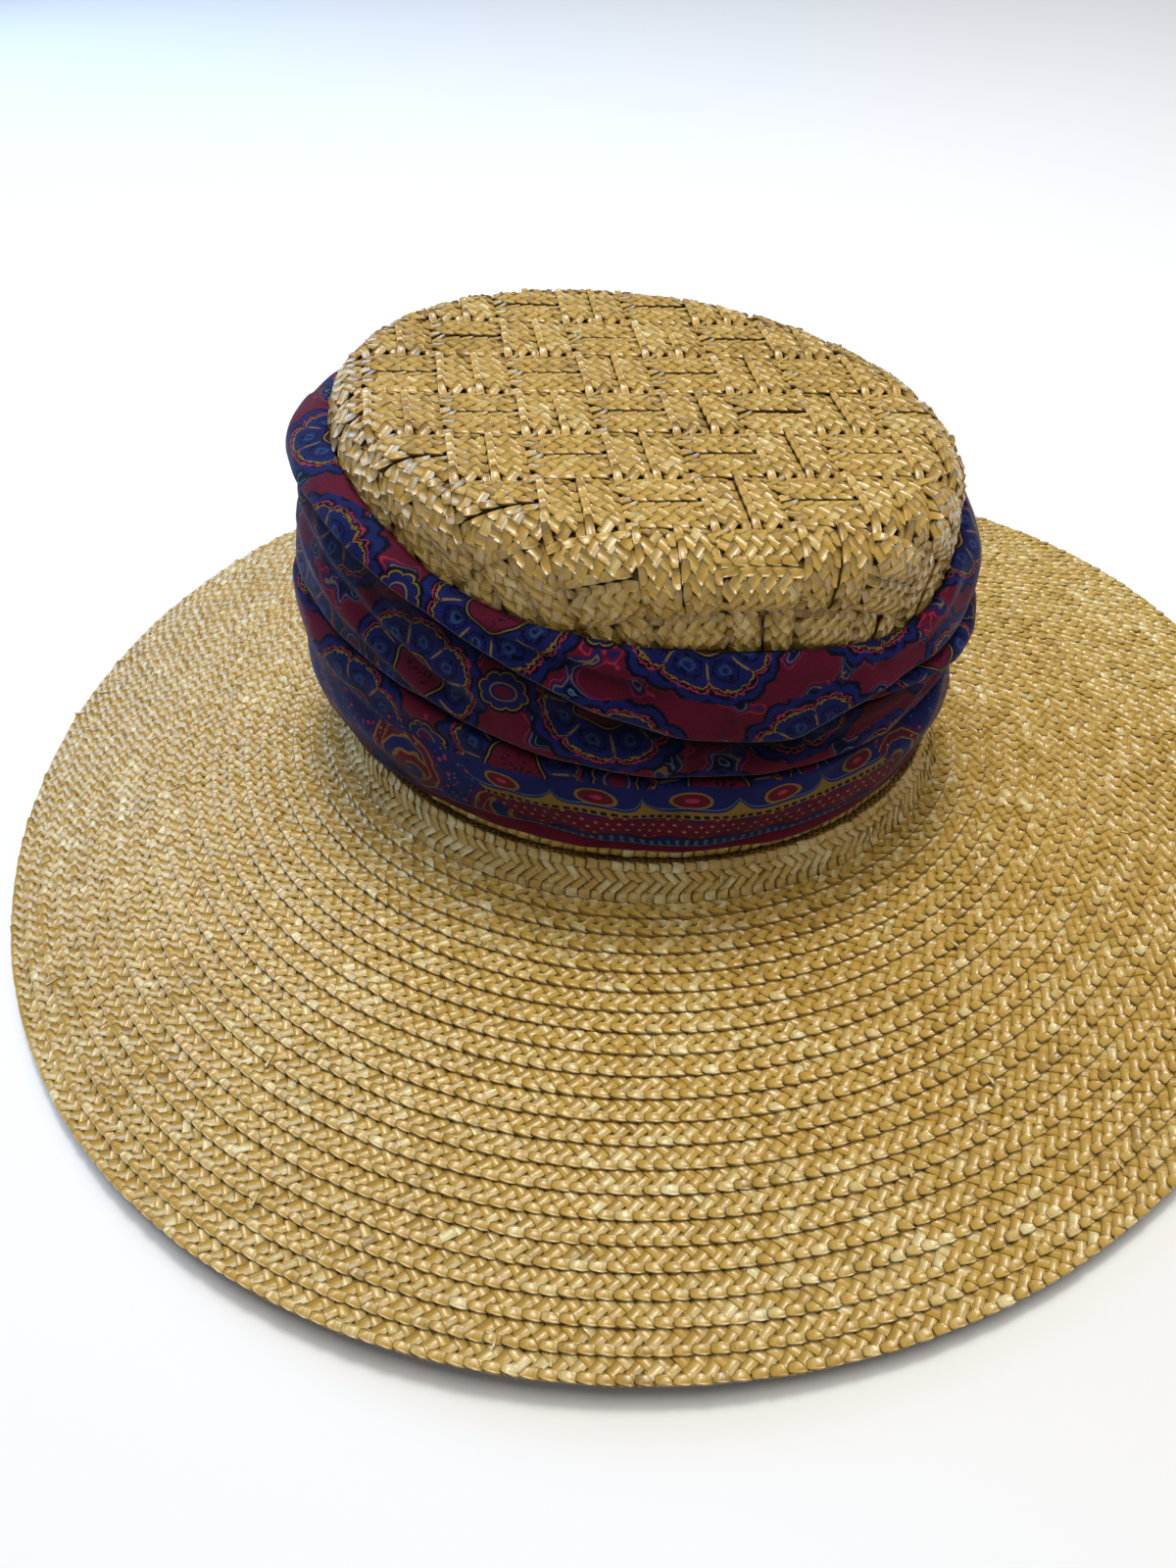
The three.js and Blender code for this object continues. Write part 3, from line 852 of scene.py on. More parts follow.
def scarf_cloth(name, points, around, drawn, shelter, wrap):
    """Printed cloth over a grid of points, with its place on the flat cloth and its shelter."""
    rows, columns = points.shape[:2]
    faces, steps = grid_faces(rows, columns, wrap)
    u = np.append(around, around[-1] + around[1] - around[0])
    uv = np.stack([u[steps[..., 1]], drawn[steps[..., 0], steps[..., 1] % columns]], axis=-1)
    piece = mesh_object(name, world(points.reshape(-1, 3)), faces.tolist(), uv)
    layer = piece.data.attributes.new("shelter", "FLOAT", "POINT")
    layer.data.foreach_set("value", np.ascontiguousarray(shelter, dtype=np.float32).ravel())
    piece.data.materials.append(bpy.data.materials.get("Printed silk")
                                or scarf_material("Printed silk", bpy.context.scene.hat_scarf))
    solidify = piece.modifiers.new("Cloth", "SOLIDIFY")
    solidify.thickness = CLOTH_THICK * MM
    solidify.offset = -1
    ride(piece)
    return piece


def roll_surface():
    """Points of the scarf's rolled end: a cloth wound in a spiral along the opened pleat."""
    share = np.linspace(0, 1, ROLL_ALONG)
    angle = np.radians(mix(ROLL_FROM, ROLL_TO, share))
    azimuth = wall_azimuth(angle)
    radius = ROLL_RADIUS * mix(ROLL_END_SHARE, 1, np.sin(np.pi * share))
    floor = GAP + CLOTH + 0.3 * PLEAT + 0.5 * scarf_line("puff", azimuth) + GAP
    height = scarf_line("high_pleat", azimuth) - scarf_line("gap", azimuth) / 2
    turns = np.linspace(-0.3, 2 * np.pi * ROLL_TURNS, ROLL_AROUND)[:, None]
    wound = radius * mix(0.45, 1.0, turns / turns[-1])
    wound = wound * (1 + 0.05 * np.sin(3 * turns + 9 * share) + 0.04 * np.sin(40 * share + turns))
    offset = floor + radius * 1.05 + wound * np.cos(turns + 2 * share)
    rise = height + wound * np.sin(turns + 2 * share)
    points = wall_point(np.broadcast_to(angle, rise.shape), rise, offset)
    return points, drawn_lengths(points)


# Materials

def node_group(name, inputs, outputs):
    """Empty shader group with named sockets: pairs of name and kind, with defaults for inputs."""
    group = bpy.data.node_groups.new(name, "ShaderNodeTree")
    for label, kind, default in inputs:
        socket = group.interface.new_socket(label, in_out="INPUT", socket_type=kind)
        socket.default_value = default
    for label, kind in outputs:
        group.interface.new_socket(label, in_out="OUTPUT", socket_type=kind)
    return group, group.nodes.new("NodeGroupInput"), group.nodes.new("NodeGroupOutput")


class Field:
    """A value that changes over a surface, with the usual signs for its sums."""

    def __init__(self, tree, socket):
        self.tree = tree
        self.socket = socket

    def math(self, operation, *others):
        node = new_node(self.tree, "ShaderNodeMath", dict(enumerate((self, *others))), operation=operation)
        return Field(self.tree, node.outputs["Value"])

    def __add__(self, other):
        return self.math("ADD", other)

    def __sub__(self, other):
        return self.math("SUBTRACT", other)

    def __rsub__(self, other):
        return self.math("MULTIPLY_ADD", -1.0, other)

    def __mul__(self, other):
        return self.math("MULTIPLY", other)

    def __truediv__(self, other):
        return self.math("DIVIDE", other)

    __radd__, __rmul__ = __add__, __mul__

    def step(self, low, high):
        """0 up to low and 1 from high, smooth between."""
        node = new_node(self.tree, "ShaderNodeMapRange", {"Value": self, "From Min": low, "From Max": high},
                        interpolation_type="SMOOTHSTEP")
        return Field(self.tree, node.outputs["Result"])

    def under(self, low, high):
        """1 up to low and 0 from high, smooth between."""
        return 1 - self.step(low, high)

    def band(self, low, high, soft=0.15):
        """1 between low and high, with soft borders."""
        return self.step(low - soft, low + soft) * self.under(high - soft, high + soft)

    def line(self, at, width, soft=0.12):
        """1 on a line of a width along a level."""
        return (self - at).math("ABSOLUTE").under(width / 2 - soft, width / 2 + soft)

    def cell(self, size, shift=0.0):
        """Place inside repeated cells, measured from each cell's middle."""
        return ((self / size + shift).math("FRACT") - 0.5) * size


def blend(tree, share, first, second):
    """Colour between two, by a share from 0 to 1."""
    node = new_node(tree, "ShaderNodeMix", data_type="RGBA")
    feed(tree, node.inputs["Factor"], share)
    colours = [socket for socket in node.inputs if socket.type == "RGBA"]
    for socket, value in zip(colours, (first, second)):
        feed(tree, socket, value)
    return next(socket for socket in node.outputs if socket.type == "RGBA")


def noise(tree, place, scale, detail=2.0):
    node = new_node(tree, "ShaderNodeTexNoise", {"Vector": place, "Scale": scale, "Detail": detail})
    return Field(tree, node.outputs["Fac"])


def vector_of(tree, x=0.0, y=0.0, z=0.0):
    return new_node(tree, "ShaderNodeCombineXYZ", {"X": x, "Y": y, "Z": z}).outputs["Vector"]


def parts_of(tree, vector):
    node = new_node(tree, "ShaderNodeSeparateXYZ", {"Vector": vector})
    return tuple(Field(tree, node.outputs[name]) for name in "XYZ")


def attribute(tree, name):
    return Field(tree, new_node(tree, "ShaderNodeAttribute", attribute_name=name).outputs["Fac"])


def map_of(tree):
    """The piece's own UV map."""
    return new_node(tree, "ShaderNodeUVMap", uv_map="UVMap").outputs["UV"]


def place_of(tree):
    return new_node(tree, "ShaderNodeTexCoord").outputs["Object"]


def linear(hexed):
    """Linear colour from an sRGB number such as 0xc9a35a."""
    parts = [((hexed >> shift) & 255) / 255 for shift in (16, 8, 0)]
    parts = [part / 12.92 if part <= 0.04045 else ((part + 0.055) / 1.055) ** 2.4 for part in parts]
    return (*parts, 1)


def straw_group():
    """Colour, roughness and height of split straw, from a strand's own map and tone, with painted shade
    towards each strand's edges and ends.
    """
    found = bpy.data.node_groups.get("Split straw")
    if found:
        return found
    group, given, out = node_group(
        "Split straw",
        [("Dark", "NodeSocketColor", linear(0x7A5520)), ("Gold", "NodeSocketColor", linear(0xC59A45)),
         ("Pale", "NodeSocketColor", linear(0xEBD392)), ("Edge Shade", "NodeSocketFloat", 0.6)],
        [("Color", "NodeSocketColor"), ("Roughness", "NodeSocketFloat"), ("Height", "NodeSocketFloat")])
    tone = attribute(group, "tone")
    long, wide, _ = parts_of(group, map_of(group))
    fibre = noise(group, vector_of(group, long * 0.9, wide * 11.0, tone * 83.0), 1.0, 3.0)
    stain = noise(group, vector_of(group, long * 1.5, wide, tone * 41.0), 1.3, 1.0)
    patch = noise(group, place_of(group), 28.0)
    level = tone * 0.5 + fibre * 0.5 + (patch - 0.5) * 0.4 + (stain - 0.5) * 0.3
    warm = blend(group, level.step(-0.15, 0.5), given.outputs["Dark"], given.outputs["Gold"])
    pale = blend(group, level.step(0.5, 0.95), warm, given.outputs["Pale"])
    # Painted shade: a strand's edges and ends, and its sides below the top, darken towards a near-black gap
    # colour, standing in for the shade where it meets its neighbours and dives under them. The gap colour is
    # painted shade, not a colour of the straw.
    near_side = wide.math("MINIMUM", 1 - wide)
    near_end = long.math("MINIMUM", 1 - long)
    border = near_side.step(0.0, 0.08) * near_end.step(-0.03, 0.13)
    shade = (1 - border) * Field(group, given.outputs["Edge Shade"])
    gap = blend(group, 0.75, given.outputs["Dark"], (0.008, 0.004, 0.0, 1))
    colour = blend(group, shade, pale, gap)
    give(group, out, {"Color": colour, "Roughness": 0.26 + fibre * 0.3, "Height": fibre})
    return group


def principled(name):
    """Fresh material with a Principled shader, and a bump that feeds its normal."""
    material = bpy.data.materials.new(name)
    material.use_nodes = True
    tree = material.node_tree
    tree.nodes.clear()
    bump = new_node(tree, "ShaderNodeBump")
    shader = new_node(tree, "ShaderNodeBsdfPrincipled", {"Normal": bump.outputs["Normal"]})
    new_node(tree, "ShaderNodeOutputMaterial", {"Surface": shader.outputs["BSDF"]})
    return material, tree, shader, bump


def straw_material(name, look):
    """Golden split straw with a soft gloss."""
    material, tree, shader, bump = principled(name)
    straw = new_node(tree, "ShaderNodeGroup", node_tree=straw_group())
    give(tree, straw, {"Dark": (*look.dark, 1), "Gold": (*look.gold, 1), "Pale": (*look.pale, 1),
                       "Edge Shade": look.edge_shade})
    give(tree, shader, {"Base Color": straw.outputs["Color"], "Roughness": straw.outputs["Roughness"],
                        "Coat Weight": look.gloss, "Coat Roughness": 0.27, "Specular IOR Level": 0.55})
    give(tree, bump, {"Height": straw.outputs["Height"], "Strength": 0.5, "Distance": 0.00015})
    return material


def backing_group():
    """Colour and height of a coarse plait of straw, for what shows behind the strands."""
    found = bpy.data.node_groups.get("Straw backing")
    if found:
        return found
    group, given, out = node_group(
        "Straw backing",
        [("Dark", "NodeSocketColor", linear(0x5F400C)), ("Gold", "NodeSocketColor", linear(0xC29C42)),
         ("Plait Step", "NodeSocketFloat", 0.0045)],
        [("Color", "NodeSocketColor"), ("Height", "NodeSocketFloat")])
    place = place_of(group)
    level = noise(group, place, 900.0) * 0.5 + noise(group, place, 60.0) * 0.5
    x, y, z = parts_of(group, place)
    step = Field(group, given.outputs["Plait Step"]) / (2 * math.pi)
    cells = ((x + y) / step).math("SINE") * ((x + z - y) / step).math("SINE")
    straw = blend(group, level.step(0.3, 0.7), given.outputs["Dark"], given.outputs["Gold"])
    straw = blend(group, cells.step(0.1, -0.5), straw, given.outputs["Dark"])
    give(group, out, {"Color": straw, "Height": cells})
    return group


def backing_material(name, look, step_mm):
    """Duller straw for a solid whose inside and underside stay in sight."""
    material, tree, shader, bump = principled(name)
    straw = new_node(tree, "ShaderNodeGroup", node_tree=backing_group())
    give(tree, straw, {"Dark": (*look.dark, 1), "Gold": (*look.gold, 1), "Plait Step": step_mm * MM})
    give(tree, shader, {"Base Color": straw.outputs["Color"], "Roughness": 0.6})
    give(tree, bump, {"Height": straw.outputs["Height"], "Strength": 0.6, "Distance": 0.0006})
    return material


# Settings that a user would change

class StrawLook(bpy.types.PropertyGroup):
    """Colours and gloss of the straw."""
    # The dark colour is used for stained straw. It is also the base of the painted shade at strand edges and
    # in gaps.
    dark: bpy.props.FloatVectorProperty(name="Dark straw", description="Colour of stained straw and gaps",
                                        subtype="COLOR", size=3, default=linear(0x5F400C)[:3])
    gold: bpy.props.FloatVectorProperty(name="Golden straw", description="Main colour of the straw",
                                        subtype="COLOR", size=3, default=linear(0xC29C42)[:3])
    pale: bpy.props.FloatVectorProperty(name="Pale straw", description="Colour of the palest straw",
                                        subtype="COLOR", size=3, default=linear(0xECDDA4)[:3])
    # Strength of the painted shade at a strand's edges and ends.
    edge_shade: bpy.props.FloatProperty(name="Edge shade", description="How dark a strand's edges are",
                                        subtype="FACTOR", min=0, max=1, default=0.5)
    gloss: bpy.props.FloatProperty(name="Gloss", description="Weight of the straw's natural coat",
                                   subtype="FACTOR", min=0, max=1, default=0.9)


class ScarfLook(bpy.types.PropertyGroup):
    """Colours of the printed scarf."""
    crimson: bpy.props.FloatVectorProperty(name="Crimson", description="Ground of the print",
                                           subtype="COLOR", size=3, default=linear(0x5C1027)[:3])
    navy: bpy.props.FloatVectorProperty(name="Navy", description="Petals and scallops",
                                        subtype="COLOR", size=3, default=linear(0x161E5A)[:3])
    mustard: bpy.props.FloatVectorProperty(name="Mustard", description="Outlines",
                                           subtype="COLOR", size=3, default=linear(0x84692C)[:3])
    pink: bpy.props.FloatVectorProperty(name="Pink", description="Inner outlines and small flowers",
                                        subtype="COLOR", size=3, default=linear(0xA0304A)[:3])
    sky: bpy.props.FloatVectorProperty(name="Sky blue", description="Flecks and dashes",
                                       subtype="COLOR", size=3, default=linear(0x4A6E98)[:3])


# Pieces

def lay_straw(name, spots, jitters, seed):
    """One piece of strands in the shared straw, on the hat's body."""
    straw = bpy.data.materials.get("Straw strands")
    straw = straw or straw_material("Straw strands", bpy.context.scene.hat_straw)
    ride(laid(name, spots, straw, jitters, seed))


def back_with(node, name, step_mm):
    """Give a solid the duller straw that shows inside and below."""
    solid = bpy.data.objects[node].data
    solid.materials.clear()
    solid.materials.append(backing_material(name, bpy.context.scene.hat_straw, step_mm))


class HAT_OT_brim(bpy.types.Operator):
    """Lay the sewn plait of the brim row by row"""
    bl_idname = "hat.brim"
    bl_label = "Sewn brim"

    def execute(self, context):
        for index, (name, first, last) in enumerate(BRIM_PARTS):
            spots = brim_spots(first, last)
            spots = joined([spots, frayed(spots, 0.012, (3.2, 4.4, 2.4), index)])
            lay_straw(name, spots, (0.06, 0.14, 0.06), seed=index + 1)
        lay_straw("brim_stitches", stitch_spots(), (0.1, 0.02, 0.2), seed=9)
        back_with("brim", "Brim backing", 4.5)
        return {"FINISHED"}


class HAT_OT_collar(bpy.types.Operator):
    """Lay the wide plait round the foot of the crown"""
    bl_idname = "hat.collar"
    bl_label = "Collar plait"

    def execute(self, context):
        spots = collar_spots()
        spots = joined([spots, frayed(spots, 0.05, (3.4, 4.6, 2.6), 22)])
        lay_straw("collar_plait", spots, (0.1, 0.14, 0.08), seed=21)
        back_with("collar_braid", "Collar backing", 3.6)
        return {"FINISHED"}


class HAT_OT_crown(bpy.types.Operator):
    """Weave the crown from pairs of plait strips"""
    bl_idname = "hat.crown"
    bl_label = "Woven crown"

    def execute(self, context):
        lay_straw("crown_weave", weave_spots(), (0.04, 0.04, 0.04), seed=31)
        lay_straw("crown_foot_weave", foot_spots(), (0.06, 0.12, 0.06), seed=32)
        back_with("crown", "Crown backing", 6.8)
        return {"FINISHED"}


class Print:
    """A printed colour, built up ink over ink."""

    def __init__(self, tree, inks, ground):
        self.tree = tree
        self.inks = inks
        self.colour = inks[ground]

    def lay(self, share, ink):
        """Lay an ink, or another print, over what is there."""
        over = ink.colour if isinstance(ink, Print) else self.inks[ink]
        self.colour = blend(self.tree, share, self.colour, over)

    def noise(self, u, v, level, scale, detail=1.0):
        """Noise over the cloth, with a pattern of its own for each level."""
        return noise(self.tree, vector_of(self.tree, u, v, level), scale, detail)


def polar(x, y):
    return (x * x + y * y).math("SQRT"), y.math("ARCTAN2", x)


def lobes(angle, count, power):
    """Bumps round a circle: 0 between two of them and 1 on their crests."""
    return (angle * (count / 2)).math("SINE").math("ABSOLUTE").math("POWER", power)


def medallions(cloth, u, v):
    """Lay staggered medallions with eight petals, and a small floret between each two."""
    stagger = (v / MEDALLION_TALL + 0.02).math("FLOOR") * 0.5
    y = v.cell(MEDALLION_TALL, 0.02)
    x = (u / MEDALLION_WIDE + stagger).cell(1.0) * MEDALLION_WIDE
    reach, angle = polar(x, y)
    petals = lobes(angle, 8, 0.6)
    scallops = (angle * 8 + 0.4).math("SINE").math("ABSOLUTE")
    ragged = cloth.noise(u, v, 5.0, 0.9) - 0.5
    points = (angle * 4).math("COSINE").math("ABSOLUTE").math("POWER", 3.0)
    flower = reach - 13.4 - petals * 3.8 - points * 1.3 + ragged * 2.4
    surround = reach - 21.6 - scallops * 1.9 + ragged * 1.6
    cloth.lay(surround.under(-0.2, 0.2), "night")
    cloth.lay(surround.band(-3.4, -1.2, 0.3), "navy")
    cloth.lay(flower.line(1.9, 0.5), "pink")
    cloth.lay(flower.line(0.7, 0.62), "mustard")
    cloth.lay(flower.under(0.0, 0.3), "navy")
    cloth.lay((ragged * 3.4 + petals * 0.4).step(0.62, 0.8) * flower.under(-1.6, -1.0), "night")
    leaf = petals - (flower + 4.6) * (flower + 4.6) * 0.035
    cloth.lay(leaf.line(0.68, 0.09, 0.04) * reach.step(9.0, 9.8), "night")
    cores = (leaf.step(0.88, 0.93) - leaf.step(0.96, 0.99)) * flower.under(-2.6, -1.8)
    cloth.lay(cores * reach.step(10.0, 11.0) * 0.28, "sky")
    cloth.lay(petals.under(0.2, 0.32) * flower.step(-5.5, -4.5) * flower.under(-0.8, 0.0), "mustard")
    heart = reach + (angle * 5).math("SINE") * 0.5
    cloth.lay(heart.under(8.6, 9.0), "night")
    cloth.lay(heart.line(7.9, 0.45), "mustard")
    cloth.lay(heart.under(6.9, 7.3), "crimson")
    cloth.lay(cloth.noise(x * 0.75, y * 0.75, 0.0, 1.0).step(0.56, 0.62) * heart.under(4.6, 5.4), "night")
    small, turn = polar((u / MEDALLION_WIDE + stagger + 0.5).cell(1.0) * MEDALLION_WIDE, y)
    tips = small - lobes(turn, 8, 0.5) * 1.3
    cloth.lay(tips.under(6.0, 6.3), "night")
    cloth.lay(tips.line(4.9, 0.55), "mustard")
    cloth.lay(tips.under(4.2, 4.5), "navy")
    cloth.lay(small.line(3.0, 0.45), "mustard")
    cloth.lay(small.under(1.9, 2.2), "crimson")


def paisley(tree, inks, u, v):
    """Curled drops on dark blue, with small flowers and flecks between them."""
    dots = new_node(tree, "ShaderNodeTexVoronoi", {"Vector": vector_of(tree, u, v), "Scale": 0.5,
                                                   "Randomness": 0.7})
    near = Field(tree, dots.outputs["Distance"])
    flowers = parts_of(tree, dots.outputs["Color"])[0].step(0.72, 0.74)
    cloth = Print(tree, inks, "navy")
    cloth.lay(near.under(0.14, 0.24), "sky")
    cloth.lay(near.under(0.34, 0.42) * flowers, "pink")
    cloth.lay(near.under(0.08, 0.14) * flowers, "mustard")
    mirror = ((u / (2 * DROP_WIDE) + 0.1).math("FRACT") - 0.5).math("SIGN")
    reach, angle = polar(u.cell(DROP_WIDE, 0.2) * mirror, v.cell(DROP_TALL, -0.14) + mirror * 2.5)
    turned = (u / DROP_WIDE + 0.2).math("FLOOR") * 2.2 + (v / DROP_TALL - 0.14).math("FLOOR") * 1.4
    angle = angle - turned
    uneven = cloth.noise(u, v, 21.0, 0.16) - 0.5
    lobe = (angle - 0.7).math("COSINE")
    drop = reach - 11.4 - lobe * 2.4 - lobe.math("MAXIMUM", 0.0).math("POWER", 8.0) * 4.5 + uneven * 4.0
    curl = (reach / 9.5 - angle / (2 * math.pi) + uneven * 0.5).math("FRACT")
    inside = Print(tree, inks, "navy")
    inside.lay(curl.band(0.08, 0.55, 0.03), "crimson")
    inside.lay(curl.line(0.08, 0.1, 0.03), "mustard")
    inside.lay(curl.line(0.55, 0.1, 0.03), "mustard")
    inside.lay(near.under(0.12, 0.2) * curl.band(0.16, 0.46, 0.03), "pink")
    cloth.lay(drop.under(-0.3, 0.1), inside)
    cloth.lay(drop.band(-3.2, 0.0, 0.2), "crimson")
    cloth.lay(near.under(0.14, 0.24) * drop.band(-2.6, -0.6, 0.2), "pale")
    cloth.lay(drop.line(-3.2, 0.55), "mustard")
    cloth.lay(drop.line(0.1, 0.8), "mustard")
    cloth.lay(drop.line(1.6, 0.7), "crimson")
    return cloth


def borders(tree, inks, u, v):
    """Striped border: from the hem up a chain, dashes, a dotted band, a chain, and arches with buds."""
    cloth = Print(tree, inks, "navy")
    tall = 12.6 + (u.cell(21.6).math("ABSOLUTE") / 10.8) * 1.6
    dashes = u.cell(2.7).math("ABSOLUTE").under(0.4, 0.65)
    cloth.lay(dashes * v.step(9.9, 10.1) * (v - tall).under(-0.1, 0.2), "sky")
    high = v - (u * (2 * math.pi / 15.0)).math("SINE") * 0.9
    cloth.lay(high.band(14.8, 24.0), "crimson")
    dot, _ = polar((u / 3.3 + (v / 2.8).math("FLOOR") * 0.5).cell(1.0) * 3.3, v.cell(2.8))
    cloth.lay(dot.under(0.4, 0.65) * high.band(16.0, 23.4) * 0.7, "pale")
    cloth.lay(high.line(14.8, 0.6), "night")
    for low, size in ((7.4, 2.3), (24.2, 2.6)):
        links = u.cell(size).math("ABSOLUTE").line(0.0, size * 0.62, 0.12)
        cloth.lay(v.band(low, low + 2.0, 0.1), "mustard")
        cloth.lay(links * v.band(low + 0.35, low + 1.65, 0.12), "night")
    over = v - 26.2 - ((u.cell(26.0).math("ABSOLUTE") / 13.0).math("POWER", 6.0) * 5.0 + 1.0)
    cloth.lay(v.step(26.1, 26.3) * over.under(-0.15, 0.15), "mustard")
    cloth.lay(over.band(0.2, 40.0), "navy")
    cloth.lay(over.line(1.1, 0.4), "sky")
    bud, _ = polar(u.cell(26.0) * math.sqrt(0.35), v - 31.5)
    cloth.lay(bud.under(3.2, 3.5), "mustard")
    cloth.lay(bud.under(2.6, 2.9), "crimson")
    cloth.lay(bud.under(0.8, 1.1), "pink")
    return cloth


def curled_field(tree, inks, u, v):
    """Crimson ground with a few outlined blue patches."""
    cloth = Print(tree, inks, "crimson")
    curls = cloth.noise(u, v, 9.0, 0.085, 1.5)
    cloth.lay(curls.step(0.555, 0.57), "navy")
    cloth.lay(curls.line(0.59, 0.01, 0.006), "mustard")
    cloth.lay(curls.line(0.54, 0.008, 0.005), "pink")
    cloth.lay(curls.step(0.61, 0.62), "night")
    cloth.lay(curls.line(0.65, 0.01, 0.006), "sky")
    return cloth


def scarf_material(name, look):
    """Printed silk twill: a print of medallions, paisley and borders over a fine diagonal weave, with
    painted shade where the folds shelter the cloth.
    """
    material, tree, shader, bump = principled(name)
    inks = {ink: (*getattr(look, ink), 1) for ink in ("crimson", "navy", "mustard", "pink", "sky")}
    inks["night"] = (*(part * 0.12 for part in look.navy), 1)
    # The hem is the print's own plain crimson band. Its lift to 1.7 times the crimson is painted light,
    # which raises the hem out of the shade it lies in.
    inks["hem"] = (*(part * 1.7 for part in look.crimson), 1)
    inks["pale"] = linear(0x9C8C76)
    # Near-black ink for the painted shade in the sheltered folds.
    inks["depth"] = (0.001, 0.0005, 0.001, 1)
    u, v, _ = parts_of(tree, map_of(tree))
    plain_place = vector_of(tree, u, v)
    sway = noise(tree, plain_place, 0.07, 1.0)
    lean = noise(tree, vector_of(tree, u, v, 40.0), 0.06, 1.0)
    u, v = u + (sway - 0.5) * 5.0, v + (lean - 0.5) * 3.0
    field = curled_field(tree, inks, u, v)
    medallions(field, u, v - MEDALLION_LIFT)
    cloth = paisley(tree, inks, u, v)
    cloth.lay((u + v * BORDER_SLANT).band(BORDER_FROM, BORDER_TO, 0.3), borders(tree, inks, u, v))
    panel = v - u.under(180.0, 262.0) * PANEL_DIP
    cloth.lay(panel.step(PANEL_TALL - 0.2, PANEL_TALL + 0.2), field)
    cloth.lay(v.under(6.9, 7.1), "mustard")
    cloth.lay(v.under(6.3, 6.5), "hem")
    thread = noise(tree, plain_place, 2.6, 2.0)
    fade = noise(tree, plain_place, 0.09, 2.0)
    cloth.lay(thread.step(0.35, 0.75) * 0.45, "night")
    cloth.lay(fade.step(0.45, 0.8) * 0.35, "night")
    # Painted shade: the cloth darkens towards near black where the cloth above shelters it from the light,
    # and its sheen weakens there.
    deep = attribute(tree, "shelter")
    cloth.lay(deep.math("POWER", 0.8) * 0.92, "depth")
    twill = ((u + v) * (2 * math.pi / 0.7)).math("SINE") * 0.5 + thread
    give(tree, shader, {"Base Color": cloth.colour, "Roughness": 0.55 + thread * 0.25,
                        "Specular IOR Level": 0.08, "Sheen Weight": (1 - deep) * 0.2, "Sheen Roughness": 0.3,
                        "Sheen Tint": (0.72, 0.8, 1.0, 1)})
    give(tree, bump, {"Height": twill, "Strength": 0.35, "Distance": 0.0001})
    return material


class HAT_OT_scarf(bpy.types.Operator):
    """Fold the printed scarf round the crown, with its rolled end"""
    bl_idname = "hat.scarf"
    bl_label = "Printed scarf"

    def execute(self, context):
        points, drawn, shelter = scarf_surface()
        around = np.linspace(0, SCARF_ROUND, SCARF_AROUND, endpoint=False)
        band = scarf_cloth("scarf_folds", points, around, drawn, shelter, True)
        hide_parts("scarf_band")
        points, drawn = roll_surface()
        along = np.linspace(0, ROLL_LONG, ROLL_ALONG)
        roll = scarf_cloth("scarf_roll", points, along, drawn + ROLL_PRINT, 0 * drawn, False)
        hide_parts("scarf_tuck")
        return {"FINISHED"}


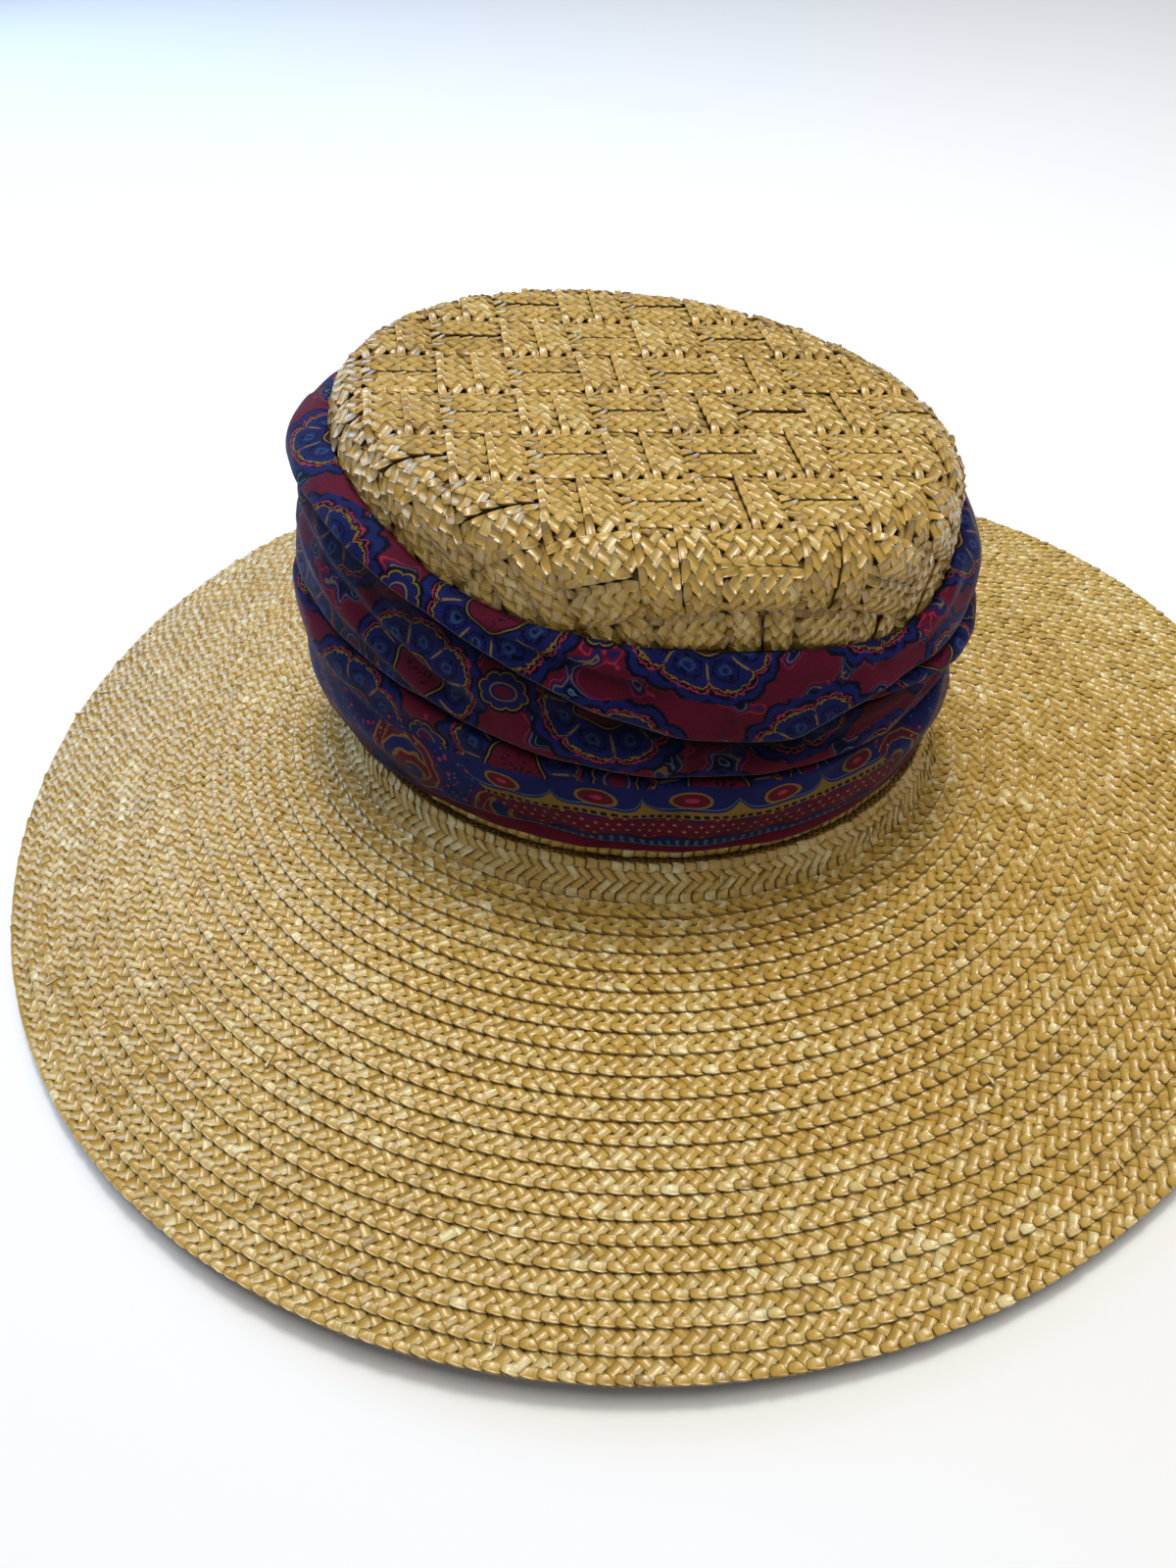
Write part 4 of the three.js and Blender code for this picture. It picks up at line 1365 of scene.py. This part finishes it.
class HAT_OT_stage(bpy.types.Operator):
    """Set the pale floor, the soft light and the camera"""
    bl_idname = "hat.stage"
    bl_label = "Stage"

    def execute(self, context):
        scene = context.scene
        bpy.ops.mesh.primitive_plane_add(size=8)
        floor = context.active_object
        floor.name = "floor"
        paper = bpy.data.materials.new("Pale floor")
        paper.use_nodes = True
        give(paper.node_tree, paper.node_tree.nodes["Principled BSDF"],
             {"Base Color": (0.9, 0.9, 0.9, 1), "Roughness": 0.9})
        floor.data.materials.append(paper)
        scene.view_settings.view_transform = "Standard"
        scene.world = bpy.data.worlds.new("Studio")
        scene.world.use_nodes = True
        sky = scene.world.node_tree
        give(sky, sky.nodes["Background"], {"Color": (1, 1, 1, 1), "Strength": 0.2})
        for name, place, size, power, tint in LIGHTS:
            light = bpy.data.lights.new(name, "AREA")
            light.size = size
            light.energy = power
            light.color = tint
            lamp = bpy.data.objects.new(name, light)
            lamp.location = place
            lamp.rotation_euler = (-Vector(place)).to_track_quat("-Z", "Y").to_euler()
            scene.collection.objects.link(lamp)
        lens = bpy.data.cameras.new("Camera")
        lens.sensor_width = SENSOR_MM
        lens.lens = PHOTO_FOCAL * SENSOR_MM / PHOTO_TALL
        lens.clip_start = 0.01
        camera = bpy.data.objects.new("Camera", lens)
        right, up = Vector(CAMERA_RIGHT).normalized(), Vector(CAMERA_UP).normalized()
        back = right.cross(up).normalized()
        up = back.cross(right)
        turned = Matrix((right, up, back)).transposed().to_4x4()
        camera.matrix_world = Matrix.Translation(Vector(CAMERA_PLACE) * MM) @ turned
        scene.collection.objects.link(camera)
        scene.camera = camera
        return {"FINISHED"}


class HAT_PT_panel(bpy.types.Panel):
    """Straw hat settings and steps"""
    bl_idname = "HAT_PT_panel"
    bl_label = "Straw Hat"
    bl_space_type = "VIEW_3D"
    bl_region_type = "UI"
    bl_category = "Straw Hat"

    def draw(self, context):
        for settings in (context.scene.hat_straw, context.scene.hat_scarf):
            box = self.layout.box()
            for name in settings.__annotations__:
                box.prop(settings, name)
        for step in STEPS:
            self.layout.operator(step.bl_idname)


STEPS = (HAT_OT_brim, HAT_OT_collar, HAT_OT_crown, HAT_OT_scarf, HAT_OT_stage)
CLASSES = (StrawLook, ScarfLook) + STEPS + (HAT_PT_panel,)


def register():
    for item in CLASSES:
        bpy.utils.register_class(item)
    bpy.types.Scene.hat_straw = bpy.props.PointerProperty(type=StrawLook)
    bpy.types.Scene.hat_scarf = bpy.props.PointerProperty(type=ScarfLook)


def unregister():
    del bpy.types.Scene.hat_straw
    del bpy.types.Scene.hat_scarf
    for item in reversed(CLASSES):
        bpy.utils.unregister_class(item)


def clear_strands():
    """Take the strand shapes away, once every plait is a mesh of its own."""
    strands = bpy.data.collections.get("Strands")
    for strand in list(strands.objects):
        mesh = strand.data
        bpy.data.objects.remove(strand)
        bpy.data.meshes.remove(mesh)
    bpy.data.collections.remove(strands)


def main():
    register()
    bpy.ops.hat.brim()
    bpy.ops.hat.collar()
    bpy.ops.hat.crown()
    bpy.ops.hat.scarf()
    bpy.ops.hat.stage()
    clear_strands()


if __name__ == "__main__":
    main()
